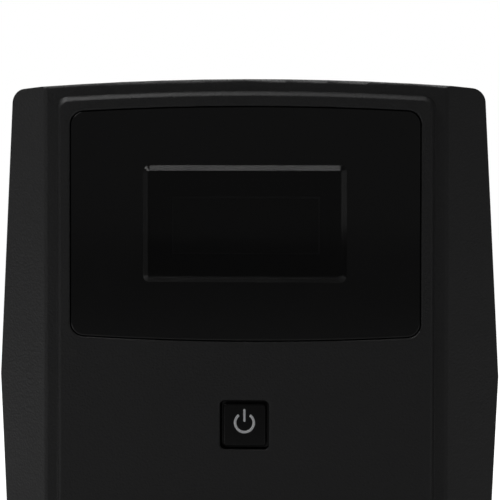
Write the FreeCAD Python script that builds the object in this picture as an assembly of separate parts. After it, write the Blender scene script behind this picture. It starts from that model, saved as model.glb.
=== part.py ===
"""Line-interactive uninterruptible power supply, tower case, as an assembly of separate pieces.

Millimetres. +Z is up, the front faces -Y and the origin is on the floor, under the middle of the case.
"""

import FreeCAD
import Part
import math
import os

V = FreeCAD.Vector

# ---- driving dimensions -------------------------------------------------------------------
CASE_W = 146.0  # across the waist, where the sides are widest
CASE_H = 160.0  # floor to the top of the crown
CASE_D = 350.0  # lens face to the breaker's button
FOOT_H = 3.0  # how far the feet hold the tray off the floor
WAIST_Z = 74.0  # height of the widest line, where cover and tray meet
DRAFT = math.radians(2.9)  # slope of the sides above and below the waist
CROWN_R = 845.0  # arc of the top, and of every edge that follows it
CORNER_R = 4.2  # long corners of the case
WALL = 2.5  # plastic wall of the case
SEAM = 0.4  # gap between the case's pieces
SIDE_GAP = 0.25  # room round a piece that slips inside another

# stations along the depth
Y_LENS = -CASE_D / 2  # face of the display lens
Y_FACE = Y_LENS + 3.0  # flat front of the bezel
PANEL_RISE = 1.6  # how far the raised panel stands off that face
Y_PANEL = Y_FACE - PANEL_RISE
Y_SEAM = -146.0  # where the bezel ends
Y_TIP = CASE_D / 2  # end of the breaker's button
Y_RIM = Y_TIP - 3.0  # back edge of cover and tray
Y_BACK = Y_RIM - 2.5  # outside of the rear panel
REAR_T = 1.5
Y_BACK_IN = Y_BACK - REAR_T

# front bezel
WING_X = 57.9  # half width of the flat front, where the wings begin
WING_SLOPE = 0.764  # how fast the wings fall back
WING_EASE = 0.55  # reach, each way, of the small flat that softens the wing's corner
PANEL_HALF_W = 54.3
PANEL_TOP = CASE_H - 3.7
PANEL_BOTTOM = 9.0
PANEL_R = 3.2
PANEL_STEP = 0.4  # upright part of the panel's edge, before its bevel
BEVEL_SIDE, BEVEL_ENDS = 0.8, 1.15
PLATE_HALF_W = 50.35
PLATE_TOP = 151.95
PLATE_BOTTOM = 84.75
PLATE_R = 3.9
PLATE_T = 2.4
PLATE_GAP = 0.3

# display
LENS_W = 58.66
LENS_H = 33.55
LENS_Z = 118.4
LENS_BEVEL = 1.6
LCD_W = 43.0
LCD_H = 16.8
BOARD_T = 1.6
Y_DISPLAY_BOARD = -159.5  # front face of the display board
DISPLAY_POSTS = [(x, z) for x in (-38.0, 38.0) for z in (57.0, 142.0)]

# power button
BUTTON = 12.26
BUTTON_Z = 60.6
BUTTON_HOLE = 14.2
Y_BUTTON = Y_PANEL + 0.2

# case screws and the posts they run in
POST_X = 62.5
POST_YS = (-136.0, 25.5, 146.0)
SCREW_SEAT_Z = 62.2

# batteries: two 12 V blocks of the 151 x 65 x 94 size
BATT_L, BATT_W, BATT_H = 151.0, 65.0, 94.0
BATT_Y = -131.0
BATT_Z = FOOT_H + WALL
BATT_GAP = 0.3  # each block's distance from the middle
LID_H = 6.0

# transformer, laminations of the 96 x 80 size
TR_Y = 75.0
TR_Z = 10.5
TR_W, TR_H, TR_STACK = 96.0, 80.0, 58.0
TR_LEG = 16.0

# main board
DECK_Z = BATT_Z + BATT_H + 0.6
DECK_T = 1.0
MAIN_Z = DECK_Z + DECK_T + 8.0
TOP_OF_MAIN = MAIN_Z + BOARD_T
STANDOFFS = [(x, y) for x in (-54.0, 54.0) for y in (-118.0, -62.0, -6.0)]

# rear panel fittings, as (x, z)
ROUND_OUTLETS = {"left": (-34.0, 66.0), "right": (34.0, 66.0)}
APPLIANCE_OUTLETS = {"left": (0.0, 23.0), "right": (41.0, 23.0)}
MAINS_INLET = (-41.0, 23.0)
FAN = (27.0, 121.0)
FAN_SIZE, FAN_T, FAN_PITCH = 60.0, 20.0, 50.0
BREAKER = (-33.0, 109.0)
DATA_PORT = (-14.0, 139.0)
NETWORK = (-40.5, 139.0)
REAR_SCREWS = [(x * s, z) for s in (-1, 1) for x, z in ((62.5, 13.0), (64.0, 98.0), (61.5, 147.0))]


# ---- helpers ------------------------------------------------------------------------------
def box(x0, x1, y0, y1, z0, z1):
    """A block between two corners."""
    return Part.makeBox(x1 - x0, y1 - y0, z1 - z0, V(x0, y0, z0))


def rod(radius, start, end):
    """A round bar from one point to another."""
    along = end - start
    return Part.makeCylinder(radius, along.Length, start, along)


def join(shapes):
    """One solid out of several that touch or overlap."""
    first, *rest = shapes
    return first.multiFuse(rest).removeSplitter() if rest else first


def group(shapes):
    """Separate solids that share a node."""
    return Part.makeCompound(shapes)


def edges_along(shape, axis):
    """Straight edges that run along an axis."""
    found = []
    for edge in shape.Edges:
        if isinstance(edge.Curve, Part.Line):
            way = edge.tangentAt(edge.FirstParameter)
            if abs(abs(way.dot(axis)) - 1) < 1e-6:
                found.append(edge)
    return found


def edges_at_y(shape, y):
    """Edges that lie in the plane across the depth at y."""
    return [e for e in shape.Edges if abs(e.BoundBox.YMin - y) < 1e-3 and abs(e.BoundBox.YMax - y) < 1e-3]


def soft_box(x0, x1, y0, y1, z0, z1, radius, axis=V(0, 1, 0)):
    """A block whose edges along one axis are rounded."""
    block = box(x0, x1, y0, y1, z0, z1)
    return block.makeFillet(radius, edges_along(block, axis))


def face_block(centre, width, height, y0, y1, radius):
    """A block on a front or back face, given by its middle (x, z) and its size, with rounded corners."""
    x, z = centre
    return soft_box(x - width / 2, x + width / 2, y0, y1, z - height / 2, z + height / 2, radius)


def prism(points, way):
    """A straight prism on a flat outline of corner points."""
    return Part.Face(Part.makePolygon([*points, points[0]])).extrude(way)


def screw(seat, way, head_r, head_h, shank_r, length):
    """A pan-head screw: the head sits on its seat point and the shank goes on along way."""
    head = Part.makeCylinder(head_r, head_h, V(0, 0, -head_h))
    head = head.makeFillet(head_h * 0.45, [e for e in head.Edges if abs(e.BoundBox.ZMax + head_h) < 1e-3
                                           and not isinstance(e.Curve, Part.Line)])
    cross = head_r * 1.1
    for half_x, half_y in ((cross / 2, 0.35), (0.35, cross / 2)):
        head = head.cut(box(-half_x, half_x, -half_y, half_y, -head_h - 1, -head_h * 0.45))
    shank = Part.makeCylinder(shank_r, length - shank_r, V(0, 0, 0))
    point = Part.makeCone(shank_r, shank_r * 0.3, shank_r, V(0, 0, length - shank_r))
    whole = join([head, shank, point])
    whole.Placement = FreeCAD.Placement(seat, FreeCAD.Rotation(V(0, 0, 1), way))
    return whole


def lead(points, radius):
    """A round lead along a route, whose corners are arcs as large as their runs allow."""
    edges, start = [], points[0]
    for before, corner, after in zip(points, points[1:], points[2:]):
        back, on = before - corner, after - corner
        turn = math.pi - back.getAngle(on)
        reach = 0.45 * min(back.Length, on.Length)
        back.normalize()
        on.normalize()
        inward = back + on
        inward.normalize()
        bend = reach / math.tan(turn / 2)
        into, out = corner + back * reach, corner + on * reach
        middle = corner + inward * (bend / math.cos(turn / 2) - bend)
        edges += [Part.LineSegment(start, into).toShape(), Part.Arc(into, middle, out).toShape()]
        start = out
    edges.append(Part.LineSegment(start, points[-1]).toShape())
    path = Part.Wire(edges)
    ring = Part.Wire(Part.makeCircle(radius, points[0], points[1] - points[0]))
    return path.makePipeShell([ring], True, True)


# ---- the case's own shape -----------------------------------------------------------------
def case_prism(inset, y0, y1):
    """The case's cross-section pulled in by inset, as a prism from y0 to y1."""
    slope = math.tan(DRAFT)
    waist_x = CASE_W / 2 - inset / math.cos(DRAFT)
    crown_r = CROWN_R - inset
    crown_z = CASE_H - CROWN_R
    floor_z = FOOT_H + inset
    floor_x = waist_x - (WAIST_Z - floor_z) * slope
    # the side line x = line_x - slope * z meets the crown's circle
    line_x = waist_x + slope * WAIST_Z
    a, b = slope**2 + 1, -2 * (slope * line_x + crown_z)
    c = line_x**2 + crown_z**2 - crown_r**2
    top_z = (-b + math.sqrt(b * b - 4 * a * c)) / (2 * a)
    top_x = line_x - slope * top_z

    right = [V(floor_x, y0, floor_z), V(waist_x, y0, WAIST_Z), V(top_x, y0, top_z)]
    left = [V(-p.x, p.y, p.z) for p in reversed(right)]
    sides = [Part.LineSegment(p, q).toShape() for p, q in zip(right, right[1:])]
    crown = Part.Arc(right[-1], V(0, y0, CASE_H - inset), left[0]).toShape()
    others = [Part.LineSegment(p, q).toShape() for p, q in zip(left, left[1:])]
    closing = Part.LineSegment(left[-1], right[0]).toShape()
    solid = Part.Face(Part.Wire([*sides, crown, *others, closing])).extrude(V(0, y1 - y0, 0))
    corners = [e for e in edges_along(solid, V(0, 1, 0)) if abs(e.Vertexes[0].Z - WAIST_Z) > 1]
    return solid.makeFillet(max(CORNER_R - inset, 0.8), corners)


def case_ring(outer, inner, y0, y1):
    """A band that follows the case's inside, between two insets."""
    return case_prism(outer, y0, y1).cut(case_prism(inner, y0 - 1, y1 + 1))


def above_waist(shape, z):
    return shape.common(box(-90, 90, -200, 200, z, 200))


def below_waist(shape, z):
    return shape.common(box(-90, 90, -200, 200, -10, z))


def crowned_plate(half_w, z_lo, z_hi, corner_r, y0, y1):
    """An upright plate with straight sides, whose top and bottom edges bow outward with the crown."""
    sag = CROWN_R - math.sqrt(CROWN_R**2 - half_w**2)
    corners = [V(x, y0, z) for x, z in ((-half_w, z_lo + sag), (half_w, z_lo + sag),
                                        (half_w, z_hi - sag), (-half_w, z_hi - sag))]
    wire = Part.Wire([
        Part.Arc(corners[0], V(0, y0, z_lo), corners[1]).toShape(),
        Part.LineSegment(corners[1], corners[2]).toShape(),
        Part.Arc(corners[2], V(0, y0, z_hi), corners[3]).toShape(),
        Part.LineSegment(corners[3], corners[0]).toShape(),
    ])
    solid = Part.Face(wire).extrude(V(0, y1 - y0, 0))
    return solid.makeFillet(corner_r, edges_along(solid, V(0, 1, 0)))


def front_outline(solid, y):
    """Outline of a solid's face in the plane across the depth at y."""
    for face in solid.Faces:
        if abs(face.BoundBox.YMin - y) < 1e-3 and abs(face.BoundBox.YMax - y) < 1e-3:
            return face.OuterWire


def wing_wedge(side, inset):
    """What a wing cuts off one front corner of the case; inset moves the cut into the case."""
    length = math.hypot(1, WING_SLOPE)
    x = WING_X - WING_SLOPE * inset / length
    y = Y_FACE + inset / length
    near, far = 12.0, 40.0
    points = [V(x - near, y - near * WING_SLOPE, -10), V(x + far, y + far * WING_SLOPE, -10),
              V(x + far, y - 20, -10), V(x - near, y - 20, -10)]
    return prism([V(side * p.x, p.y, p.z) for p in points], V(0, 0, 200))


def eased_corner(side):
    """What the small flat takes off the corner between the face and a wing."""
    turn = math.atan(WING_SLOPE)
    x0, x1 = WING_X - WING_EASE, WING_X + WING_EASE * math.cos(turn)
    y1 = Y_FACE + WING_EASE * math.sin(turn)
    points = [(x0, Y_FACE), (x1, y1), (x1, Y_FACE - 5), (x0, Y_FACE - 5)]
    return prism([V(side * x, y, -10) for x, y in points], V(0, 0, 200))


def bezel_block(inset, y_end):
    block = case_prism(inset, Y_FACE + inset, y_end)
    return block.cut(wing_wedge(1, inset)).cut(wing_wedge(-1, inset))


# ---- case ---------------------------------------------------------------------------------
def front_bezel():
    outer = bezel_block(0, Y_SEAM).cut(eased_corner(1)).cut(eased_corner(-1))
    outer = outer.makeFillet(1.0, [e for e in edges_at_y(outer, Y_FACE) if abs(e.CenterOfMass.x) < 1])
    shell = outer.cut(bezel_block(WALL, Y_SEAM + 1))

    y_bevel = Y_FACE - PANEL_STEP
    foot = crowned_plate(PANEL_HALF_W, PANEL_BOTTOM, PANEL_TOP, PANEL_R, y_bevel, Y_FACE + WALL)
    face = crowned_plate(PANEL_HALF_W - BEVEL_SIDE, PANEL_BOTTOM + BEVEL_ENDS, PANEL_TOP - BEVEL_ENDS,
                         PANEL_R - BEVEL_SIDE, Y_PANEL, Y_FACE)
    slope = Part.makeLoft([front_outline(foot, y_bevel), front_outline(face, Y_PANEL)], True, True)
    slope = slope.makeFillet(0.3, edges_at_y(slope, Y_PANEL))
    panel = join([foot, slope])

    lip = join([case_ring(WALL + SIDE_GAP, WALL + 1.8, Y_SEAM - 5, Y_SEAM + 5),
                case_ring(WALL - 0.5, WALL + 1.8, Y_SEAM - 5, Y_SEAM)])
    posts = [rod(3.2, V(x, Y_FACE + WALL - 0.5, z), V(x, Y_DISPLAY_BOARD, z)) for x, z in DISPLAY_POSTS]
    body = join([shell, panel, lip, *posts])

    recess = crowned_plate(PLATE_HALF_W + PLATE_GAP, PLATE_BOTTOM - PLATE_GAP, PLATE_TOP + PLATE_GAP,
                           PLATE_R + PLATE_GAP, Y_PANEL - 1, Y_PANEL + PLATE_T + 0.1)
    window = face_block((0, LENS_Z), LENS_W - 1.0, LENS_H - 1.0, Y_PANEL, Y_FACE + WALL + 1, 1.5)
    hole = face_block((0, BUTTON_Z), BUTTON_HOLE, BUTTON_HOLE, Y_PANEL - 1, Y_FACE + WALL + 1, 1.6)
    pilots = [rod(1.1, V(x, Y_DISPLAY_BOARD - 8, z), V(x, Y_DISPLAY_BOARD + 1, z)) for x, z in DISPLAY_POSTS]
    body = body.cut(join([recess, window])).cut(hole)
    rim = [e for e in edges_at_y(body, Y_PANEL)
           if abs(e.CenterOfMass.x) < BUTTON and abs(e.CenterOfMass.z - BUTTON_Z) < BUTTON]
    body = body.makeFillet(0.35, rim)
    return body.cut(group(pilots))


def vent_slots(ys, z0, z1, width):
    """Upright slots with round ends, through both sides of the case."""
    cutters = []
    for y in ys:
        cutters.append(soft_box(-90, 90, y - width / 2, y + width / 2, z0, z1, width * 0.48, V(1, 0, 0)))
    return group(cutters)


def spaced(first, last, pitch):
    return [first + pitch * i for i in range(int((last - first) / pitch) + 1)]


def panel_ledge():
    """Ledge inside the back of the case that the rear panel lies against."""
    return case_ring(WALL - 0.5, WALL + 4.0, Y_BACK_IN - 3, Y_BACK_IN)


def panel_bosses(places):
    inside = case_prism(1.0, 100, Y_RIM)
    return [rod(3.6, V(x, Y_BACK_IN - 12, z), V(x, Y_BACK_IN, z)).common(inside) for x, z in places]


def panel_pilots(places):
    return [rod(1.4, V(x, Y_BACK_IN - 11, z), V(x, Y_BACK_IN + 1, z)) for x, z in places]


def top_cover():
    start = Y_SEAM + SEAM
    shell = case_prism(0, start, Y_RIM).cut(case_prism(WALL, start - 1, Y_RIM + 1))
    shell = above_waist(shell, WAIST_Z + SEAM / 2)
    rear_flange = above_waist(panel_ledge(), WAIST_Z + SEAM / 2)
    posts = []
    for x in (-POST_X, POST_X):
        for y in POST_YS:
            posts.append(rod(4.0, V(x, y, 70.2), V(x, y, 92)))
            rib = box(min(x, x * 1.2), max(x, x * 1.2), y - 1.2, y + 1.2, 80, 92)
            posts.append(rib.common(case_prism(1.0, y - 5, y + 5)))
    screws = [place for place in REAR_SCREWS if place[1] > WAIST_Z]
    body = join([shell, rear_flange, *posts, *panel_bosses(screws)])
    pilots = [rod(1.5, V(x, y, 69), V(x, y, 87)) for x in (-POST_X, POST_X) for y in POST_YS]
    body = body.cut(group(pilots + panel_pilots(screws)))
    body = body.cut(vent_slots(spaced(44, 134, 6), 96, 132, 2.6))
    return body.cut(vent_slots(spaced(-118, -46, 6), 96, 132, 2.6))


def base_tray():
    start = Y_SEAM + SEAM
    top = WAIST_Z - SEAM / 2
    shell = below_waist(case_prism(0, start, Y_RIM).cut(case_prism(WALL, start - 1, Y_RIM + 1)), top)
    tongue = case_ring(WALL + SIDE_GAP, WALL + 1.8, start + 7, Y_BACK_IN - 6)
    root = case_ring(WALL - 0.5, WALL + 1.8, start + 7, Y_BACK_IN - 6)
    band = box(-90, 90, -200, 200, top - 7, top + 4.2)
    low_band = box(-90, 90, -200, 200, top - 7, top)
    rear_flange = below_waist(panel_ledge(), top)
    inner_z = FOOT_H + WALL
    posts = []
    for x in (-POST_X, POST_X):
        for y in POST_YS:
            posts.append(rod(4.5, V(x, y, inner_z - 0.5), V(x, y, 70)))
            rib = box(min(x, x * 1.2), max(x, x * 1.2), y - 1.2, y + 1.2, inner_z - 0.5, 64)
            posts.append(rib.common(case_prism(1.0, y - 5, y + 5)))
    screws = [place for place in REAR_SCREWS if place[1] < WAIST_Z]
    seats = [rod(4.0, V(x, y, inner_z - 0.5), V(x, y, inner_z + 3.0)) for x, y in frame_feet()]
    seats += [rod(3.5, V(x, y, inner_z - 0.5), V(x, y, inner_z + 2.0)) for x, y in bracket_feet()]
    stops = [box(-20, 20, BATT_Y - 2.0, BATT_Y - 0.2, inner_z - 0.5, 26),
             box(-20, 20, BATT_Y + BATT_L + 0.2, BATT_Y + BATT_L + 2.0, inner_z - 0.5, 26)]
    rails = [box(x - 4, x + 4, TR_Y - 24, TR_Y + 24, inner_z - 0.5, TR_Z) for x in (-40, 40)]
    body = join([shell, tongue.common(band), root.common(low_band), rear_flange, *posts,
                 *panel_bosses(screws), *seats, *stops, *rails])

    holes = []
    for x in (-POST_X, POST_X):
        for y in POST_YS:
            holes += [rod(3.6, V(x, y, 0), V(x, y, SCREW_SEAT_Z)), rod(1.8, V(x, y, 0), V(x, y, 71))]
    holes += panel_pilots(screws)
    for x, y in [*frame_feet(), *bracket_feet()]:
        holes.append(rod(1.3, V(x, y, inner_z - 1.2), V(x, y, inner_z + 4)))
    holes += [rod(8.2, V(x, y, 0), V(x, y, FOOT_H + 1.0)) for x, y in foot_places()]
    body = body.cut(join(holes))
    body = body.cut(vent_slots(spaced(44, 134, 6), 18, 52, 2.6))
    floor_slots = [soft_box(-30, 30, y - 1.6, y + 1.6, 0, inner_z + 1, 1.5, V(0, 0, 1))
                   for y in spaced(51, 99, 8)]
    return body.cut(group(floor_slots))


def foot_places():
    return [(x, y) for x in (-50.0, 50.0) for y in (-118.0, 122.0)]


def rubber_feet():
    feet = []
    for x, y in foot_places():
        foot = Part.makeCone(7.4, 8.0, FOOT_H, V(x, y, 0))
        foot = foot.makeFillet(0.8, [e for e in foot.Edges if e.BoundBox.ZMax < 1e-3])
        feet.append(join([foot, Part.makeCylinder(8.0, 1.0, V(x, y, FOOT_H))]))
    return group(feet)


def case_screws():
    return group([screw(V(x, y, SCREW_SEAT_Z), V(0, 0, 1), 3.2, 2.2, 1.4, 22)
                  for x in (-POST_X, POST_X) for y in POST_YS])


def rear_panel():
    panel = case_prism(WALL + 0.3, Y_BACK_IN, Y_BACK)
    y0, y1 = Y_BACK_IN - 1, Y_BACK + 1
    holes = [rod(22.6, V(x, y0, z), V(x, y1, z)) for x, z in ROUND_OUTLETS.values()]
    for place in (*APPLIANCE_OUTLETS.values(), MAINS_INLET):
        holes.append(face_block(place, 27.6, 20.6, y0, y1, 1.0))
    holes.append(face_block(NETWORK, 33.4, 16.4, y0, y1, 0.5))
    holes.append(face_block(DATA_PORT, 12.4, 11.4, y0, y1, 0.5))
    x, z = BREAKER
    holes.append(rod(5.7, V(x, y0, z), V(x, y1, z)))
    holes += [rod(1.8, V(x, y0, z), V(x, y1, z)) for x, z in REAR_SCREWS]
    holes += [rod(2.2, V(x, y0, z), V(x, y1, z)) for x, z in fan_holes()]
    return panel.cut(group(holes)).cut(fan_grille(y0, y1))


def fan_holes():
    x, z = FAN
    half = FAN_PITCH / 2
    return [(x + i * half, z + j * half) for i in (-1, 1) for j in (-1, 1)]


def fan_grille(y0, y1):
    """Rings of air slots in front of the fan, kept apart by four spokes."""
    x, z = FAN
    rings = []
    for inner in spaced(7.0, 25.0, 4.5):
        outer = rod(inner + 3.0, V(x, y0, z), V(x, y1, z))
        rings.append(outer.cut(rod(inner, V(x, y0 - 1, z), V(x, y1 + 1, z))))
    slots = group(rings)
    for turn in (45, 135):
        spoke = box(-40, 40, y0 - 1, y1 + 1, -1.3, 1.3)
        spoke.rotate(V(0, 0, 0), V(0, 1, 0), turn)
        spoke.translate(V(x, 0, z))
        slots = slots.cut(spoke)
    return slots


def rear_panel_screws():
    return group([screw(V(x, Y_BACK, z), V(0, -1, 0), 3.0, 1.9, 1.3, 10) for x, z in REAR_SCREWS])


# ---- display and power button ---------------------------------------------------------------
def display_plate():
    y0 = Y_PANEL + 0.05
    plate = crowned_plate(PLATE_HALF_W, PLATE_BOTTOM, PLATE_TOP, PLATE_R, y0, Y_PANEL + PLATE_T)
    plate = plate.makeFillet(0.35, edges_at_y(plate, y0))
    return plate.cut(face_block((0, LENS_Z), LENS_W - 2.0, LENS_H - 2.0, y0 - 1, Y_PANEL + PLATE_T + 1, 1.0))


def display_lens():
    """The clear block over the display: a bevelled front on a plug that goes through plate and bezel."""
    seat = Y_PANEL + 0.05
    root = face_block((0, LENS_Z), LENS_W, LENS_H, seat - 0.1, seat, 1.9)
    face = face_block((0, LENS_Z), LENS_W - 2 * LENS_BEVEL, LENS_H - 2 * LENS_BEVEL, Y_LENS, seat, 0.4)
    bevel = Part.makeLoft([front_outline(root, seat - 0.1), front_outline(face, Y_LENS)], True, True)
    front = join([root, bevel])
    front = front.makeFillet(0.15, edges_at_y(front, Y_LENS))
    plug = face_block((0, LENS_Z), LENS_W - 2.2, LENS_H - 2.2, seat - 0.2, Y_FACE + WALL, 0.9)
    return join([front, plug])


def lcd_holder():
    """Frame that holds the LCD glass on the board, with a mask in front and a light box behind."""
    front = Y_FACE + WALL + 0.2
    block = face_block((0, LENS_Z), 62.0, 38.0, front, Y_DISPLAY_BOARD, 1.0)
    mask = face_block((0, LENS_Z - 0.5), LCD_W, LCD_H, front - 1, front + 2, 0.3)
    pocket = face_block((0, LENS_Z - 0.5), 53.0, 27.0, front + 1.0, front + 4.0, 0.3)
    return block.cut(mask).cut(pocket)


def lcd_glass():
    front = Y_FACE + WALL + 0.2
    return face_block((0, LENS_Z - 0.5), 52.6, 26.6, front + 1.05, front + 3.9, 0.3)


def display_board():
    board = box(-43, 43, Y_DISPLAY_BOARD, Y_DISPLAY_BOARD + BOARD_T, 52, 147)
    board = board.makeFillet(2.0, edges_along(board, V(0, 1, 0)))
    holes = [rod(1.5, V(x, Y_DISPLAY_BOARD - 1, z), V(x, Y_DISPLAY_BOARD + 3, z)) for x, z in DISPLAY_POSTS]
    return board.cut(group(holes))


def alarm_buzzer():
    back = Y_DISPLAY_BOARD + BOARD_T
    can = rod(6.0, V(24, back, 78), V(24, back + 8.5, 78))
    can = can.makeFillet(0.6, [e for e in can.Edges if abs(e.BoundBox.YMin - back - 8.5) < 1e-3])
    return can.cut(rod(1.0, V(24, back + 6, 78), V(24, back + 10, 78)))


def power_button():
    """Cap in the bezel's square hole, with a flange behind the wall and a stem for the switch."""
    place = (0, BUTTON_Z)
    flange_y = Y_FACE + WALL + 0.2
    cap = face_block(place, BUTTON, BUTTON, Y_BUTTON, flange_y + 1.0, 0.9)
    cap = cap.makeFillet(0.5, edges_at_y(cap, Y_BUTTON))
    flange = face_block(place, 15.6, 15.6, flange_y, flange_y + 1.0, 1.0)
    hollow = face_block(place, BUTTON - 2.4, BUTTON - 2.4, Y_BUTTON + 1.5, flange_y + 2, 0.5)
    stem = face_block(place, 5.3, 5.3, Y_BUTTON + 1.4, flange_y + 1.2, 0.4)
    socket = box(-1.65, 1.65, flange_y - 0.8, flange_y + 2, BUTTON_Z - 1.65, BUTTON_Z + 1.65)
    return join([join([cap, flange]).cut(hollow), stem]).cut(socket).cut(symbol_shape())


def symbol_shape():
    """Standby mark: a ring open at the top and an upright bar, let into the cap's face."""
    y0, y1, z = Y_BUTTON, Y_BUTTON + 0.35, BUTTON_Z + 0.58
    ring = rod(3.06, V(0, y0, z), V(0, y1, z)).cut(rod(2.32, V(0, y0 - 1, z), V(0, y1 + 1, z)))
    gap = prism([V(0, y0 - 1, z), V(-3.6, y0 - 1, z + 5), V(3.6, y0 - 1, z + 5)], V(0, 3, 0))
    bar = face_block((0, z + 2.13), 0.64, 3.7, y0, y1, 0.3)
    return group([ring.cut(gap), bar])


def switch_body():
    front = Y_DISPLAY_BOARD - 6.5
    body = face_block((0, BUTTON_Z), 8.5, 8.5, front, Y_DISPLAY_BOARD, 0.5)
    return body.cut(box(-1.75, 1.75, front - 1, front + 5.2, BUTTON_Z - 1.75, BUTTON_Z + 1.75))


def switch_plunger():
    start = Y_FACE + WALL + 0.2 - 0.8
    return box(-1.65, 1.65, start, start + 6.4, BUTTON_Z - 1.65, BUTTON_Z + 1.65)


def button_spring():
    """Return spring round the switch, between the cap's flange and the board."""
    wire_r, coil_r = 0.25, 6.9
    start = Y_FACE + WALL + 1.2 + wire_r + 0.02
    length = Y_DISPLAY_BOARD - wire_r - 0.02 - start
    helix = Part.makeHelix(length / 4.5, length, coil_r)
    section = Part.Wire(Part.makeCircle(wire_r, V(coil_r, 0, 0), V(0, 1, 0)))
    coil = Part.Wire(helix).makePipeShell([section], True, True)
    coil.Placement = FreeCAD.Placement(V(0, start, BUTTON_Z), FreeCAD.Rotation(V(0, 0, 1), V(0, 1, 0)))
    return coil


# ---- batteries ----------------------------------------------------------------------------
def battery_x(side):
    """Left and right edges of a battery; side is -1 or 1."""
    inner, outer = side * BATT_GAP, side * (BATT_GAP + BATT_W)
    return min(inner, outer), max(inner, outer)


def cell_ys():
    """Front wall of each of the six cells, and the cells' depth."""
    wall, divider = 2.5, 1.5
    depth = (BATT_L - 2 * wall - 5 * divider) / 6
    return [BATT_Y + wall + i * (depth + divider) for i in range(6)], depth


def battery_case(side):
    x0, x1 = battery_x(side)
    top = BATT_Z + BATT_H - LID_H
    case = soft_box(x0, x1, BATT_Y, BATT_Y + BATT_L, BATT_Z, top, 2.0, V(0, 0, 1))
    starts, depth = cell_ys()
    cells = [box(x0 + 2.5, x1 - 2.5, y, y + depth, BATT_Z + 2.5, top + 1) for y in starts]
    return case.cut(group(cells))


def battery_lid(side):
    x0, x1 = battery_x(side)
    top = BATT_Z + BATT_H
    lid = soft_box(x0, x1, BATT_Y, BATT_Y + BATT_L, top - LID_H, top, 2.0, V(0, 0, 1))
    lid = lid.makeFillet(0.8, [e for e in lid.Edges if e.BoundBox.ZMin > top - 1e-3])
    seam = soft_box(x0 + 12, x1 - 12, BATT_Y + 10, BATT_Y + 128, top - 0.6, top + 1, 2.0, V(0, 0, 1))
    y = terminal_y()
    wells = [box(x - 5, x + 5, y - 5, y + 5, top - 1.5, top + 1) for x in terminal_xs(side)]
    return lid.cut(group([seam, *wells]))


def battery_plates():
    """Lead plates, six to a cell."""
    plates = []
    starts, depth = cell_ys()
    thick, gap, count = 2.6, 1.0, 6
    for side in (-1, 1):
        x0, x1 = battery_x(side)
        for y in starts:
            first = y + (depth - count * thick - (count - 1) * gap) / 2
            for i in range(count):
                at = first + i * (thick + gap)
                plates.append(box(x0 + 5.5, x1 - 5.5, at, at + thick, BATT_Z + 3, BATT_Z + 65))
    return group(plates)


def terminal_y():
    return BATT_Y + BATT_L - 9.0


def terminal_xs(side):
    x0, x1 = battery_x(side)
    return x0 + 10, x1 - 10


def battery_terminals():
    """Push-on tabs, two on each battery."""
    tabs = []
    top = BATT_Z + BATT_H - 1.5
    y = terminal_y()
    for side in (-1, 1):
        for x in terminal_xs(side):
            foot = box(x - 4, x + 4, y - 4, y + 4, top, top + 1.2)
            blade = box(x - 3.17, x + 3.17, y - 0.4, y + 0.4, top, top + 7.8)
            tips = [e for e in edges_along(blade, V(0, 1, 0)) if e.BoundBox.ZMin > top + 7]
            blade = blade.makeChamfer(1.2, tips)
            hole = rod(0.8, V(x, y - 2, top + 4.5), V(x, y + 2, top + 4.5))
            tabs.append(join([foot, blade]).cut(hole))
    return group(tabs)


def bracket_feet():
    return [(x, y) for x in (-34.0, 34.0) for y in (BATT_Y - 5.5, BATT_Y + BATT_L + 5.5)]


def battery_bracket():
    """Steel deck over the batteries. Its four legs reach the tray's floor, and it carries the main board."""
    z0, z1 = DECK_Z, DECK_Z + DECK_T
    seat = FOOT_H + WALL + 2.0
    front, back = BATT_Y - 1.2, BATT_Y + BATT_L + 0.2
    pieces = [box(-62, 62, front, BATT_Y + 130, z0, z1)]
    for x in (-34, 34):
        pieces.append(box(x - 10, x + 10, BATT_Y + 129, back + DECK_T, z0, z1))
        for y, out in ((front, -1), (back, 1)):
            pieces.append(box(x - 10, x + 10, y, y + DECK_T, seat, z1))
            y_foot = y + out * 9
            pieces.append(box(x - 10, x + 10, min(y, y_foot), max(y, y_foot) + (DECK_T if out > 0 else 0),
                              seat, seat + DECK_T))
    deck = join(pieces)
    holes = [rod(1.8, V(x, y, seat - 1), V(x, y, seat + 3)) for x, y in bracket_feet()]
    holes += [rod(1.6, V(x, y, z0 - 1), V(x, y, z1 + 1)) for x, y in STANDOFFS]
    for y in spaced(-105, -25, 20):
        holes.append(soft_box(-44, 44, y - 4, y + 4, z0 - 1, z1 + 1, 3.9, V(0, 0, 1)))
    return deck.cut(group(holes))


def floor_screws():
    """Screws that hold the battery bracket and the transformer's frame down to the tray."""
    seat = FOOT_H + WALL + 2.0 + DECK_T
    frame_seat = FOOT_H + WALL + 3.0 + 1.2
    down = V(0, 0, -1)
    screws = [screw(V(x, y, seat), down, 2.8, 1.8, 1.2, 4.0) for x, y in bracket_feet()]
    screws += [screw(V(x, y, frame_seat), down, 2.8, 1.8, 1.2, 5.2) for x, y in frame_feet()]
    return group(screws)


# ---- transformer --------------------------------------------------------------------------
def frame_feet():
    return [(x, y) for x in (-55.5, 55.5) for y in (TR_Y - 18, TR_Y + 18)]


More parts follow.
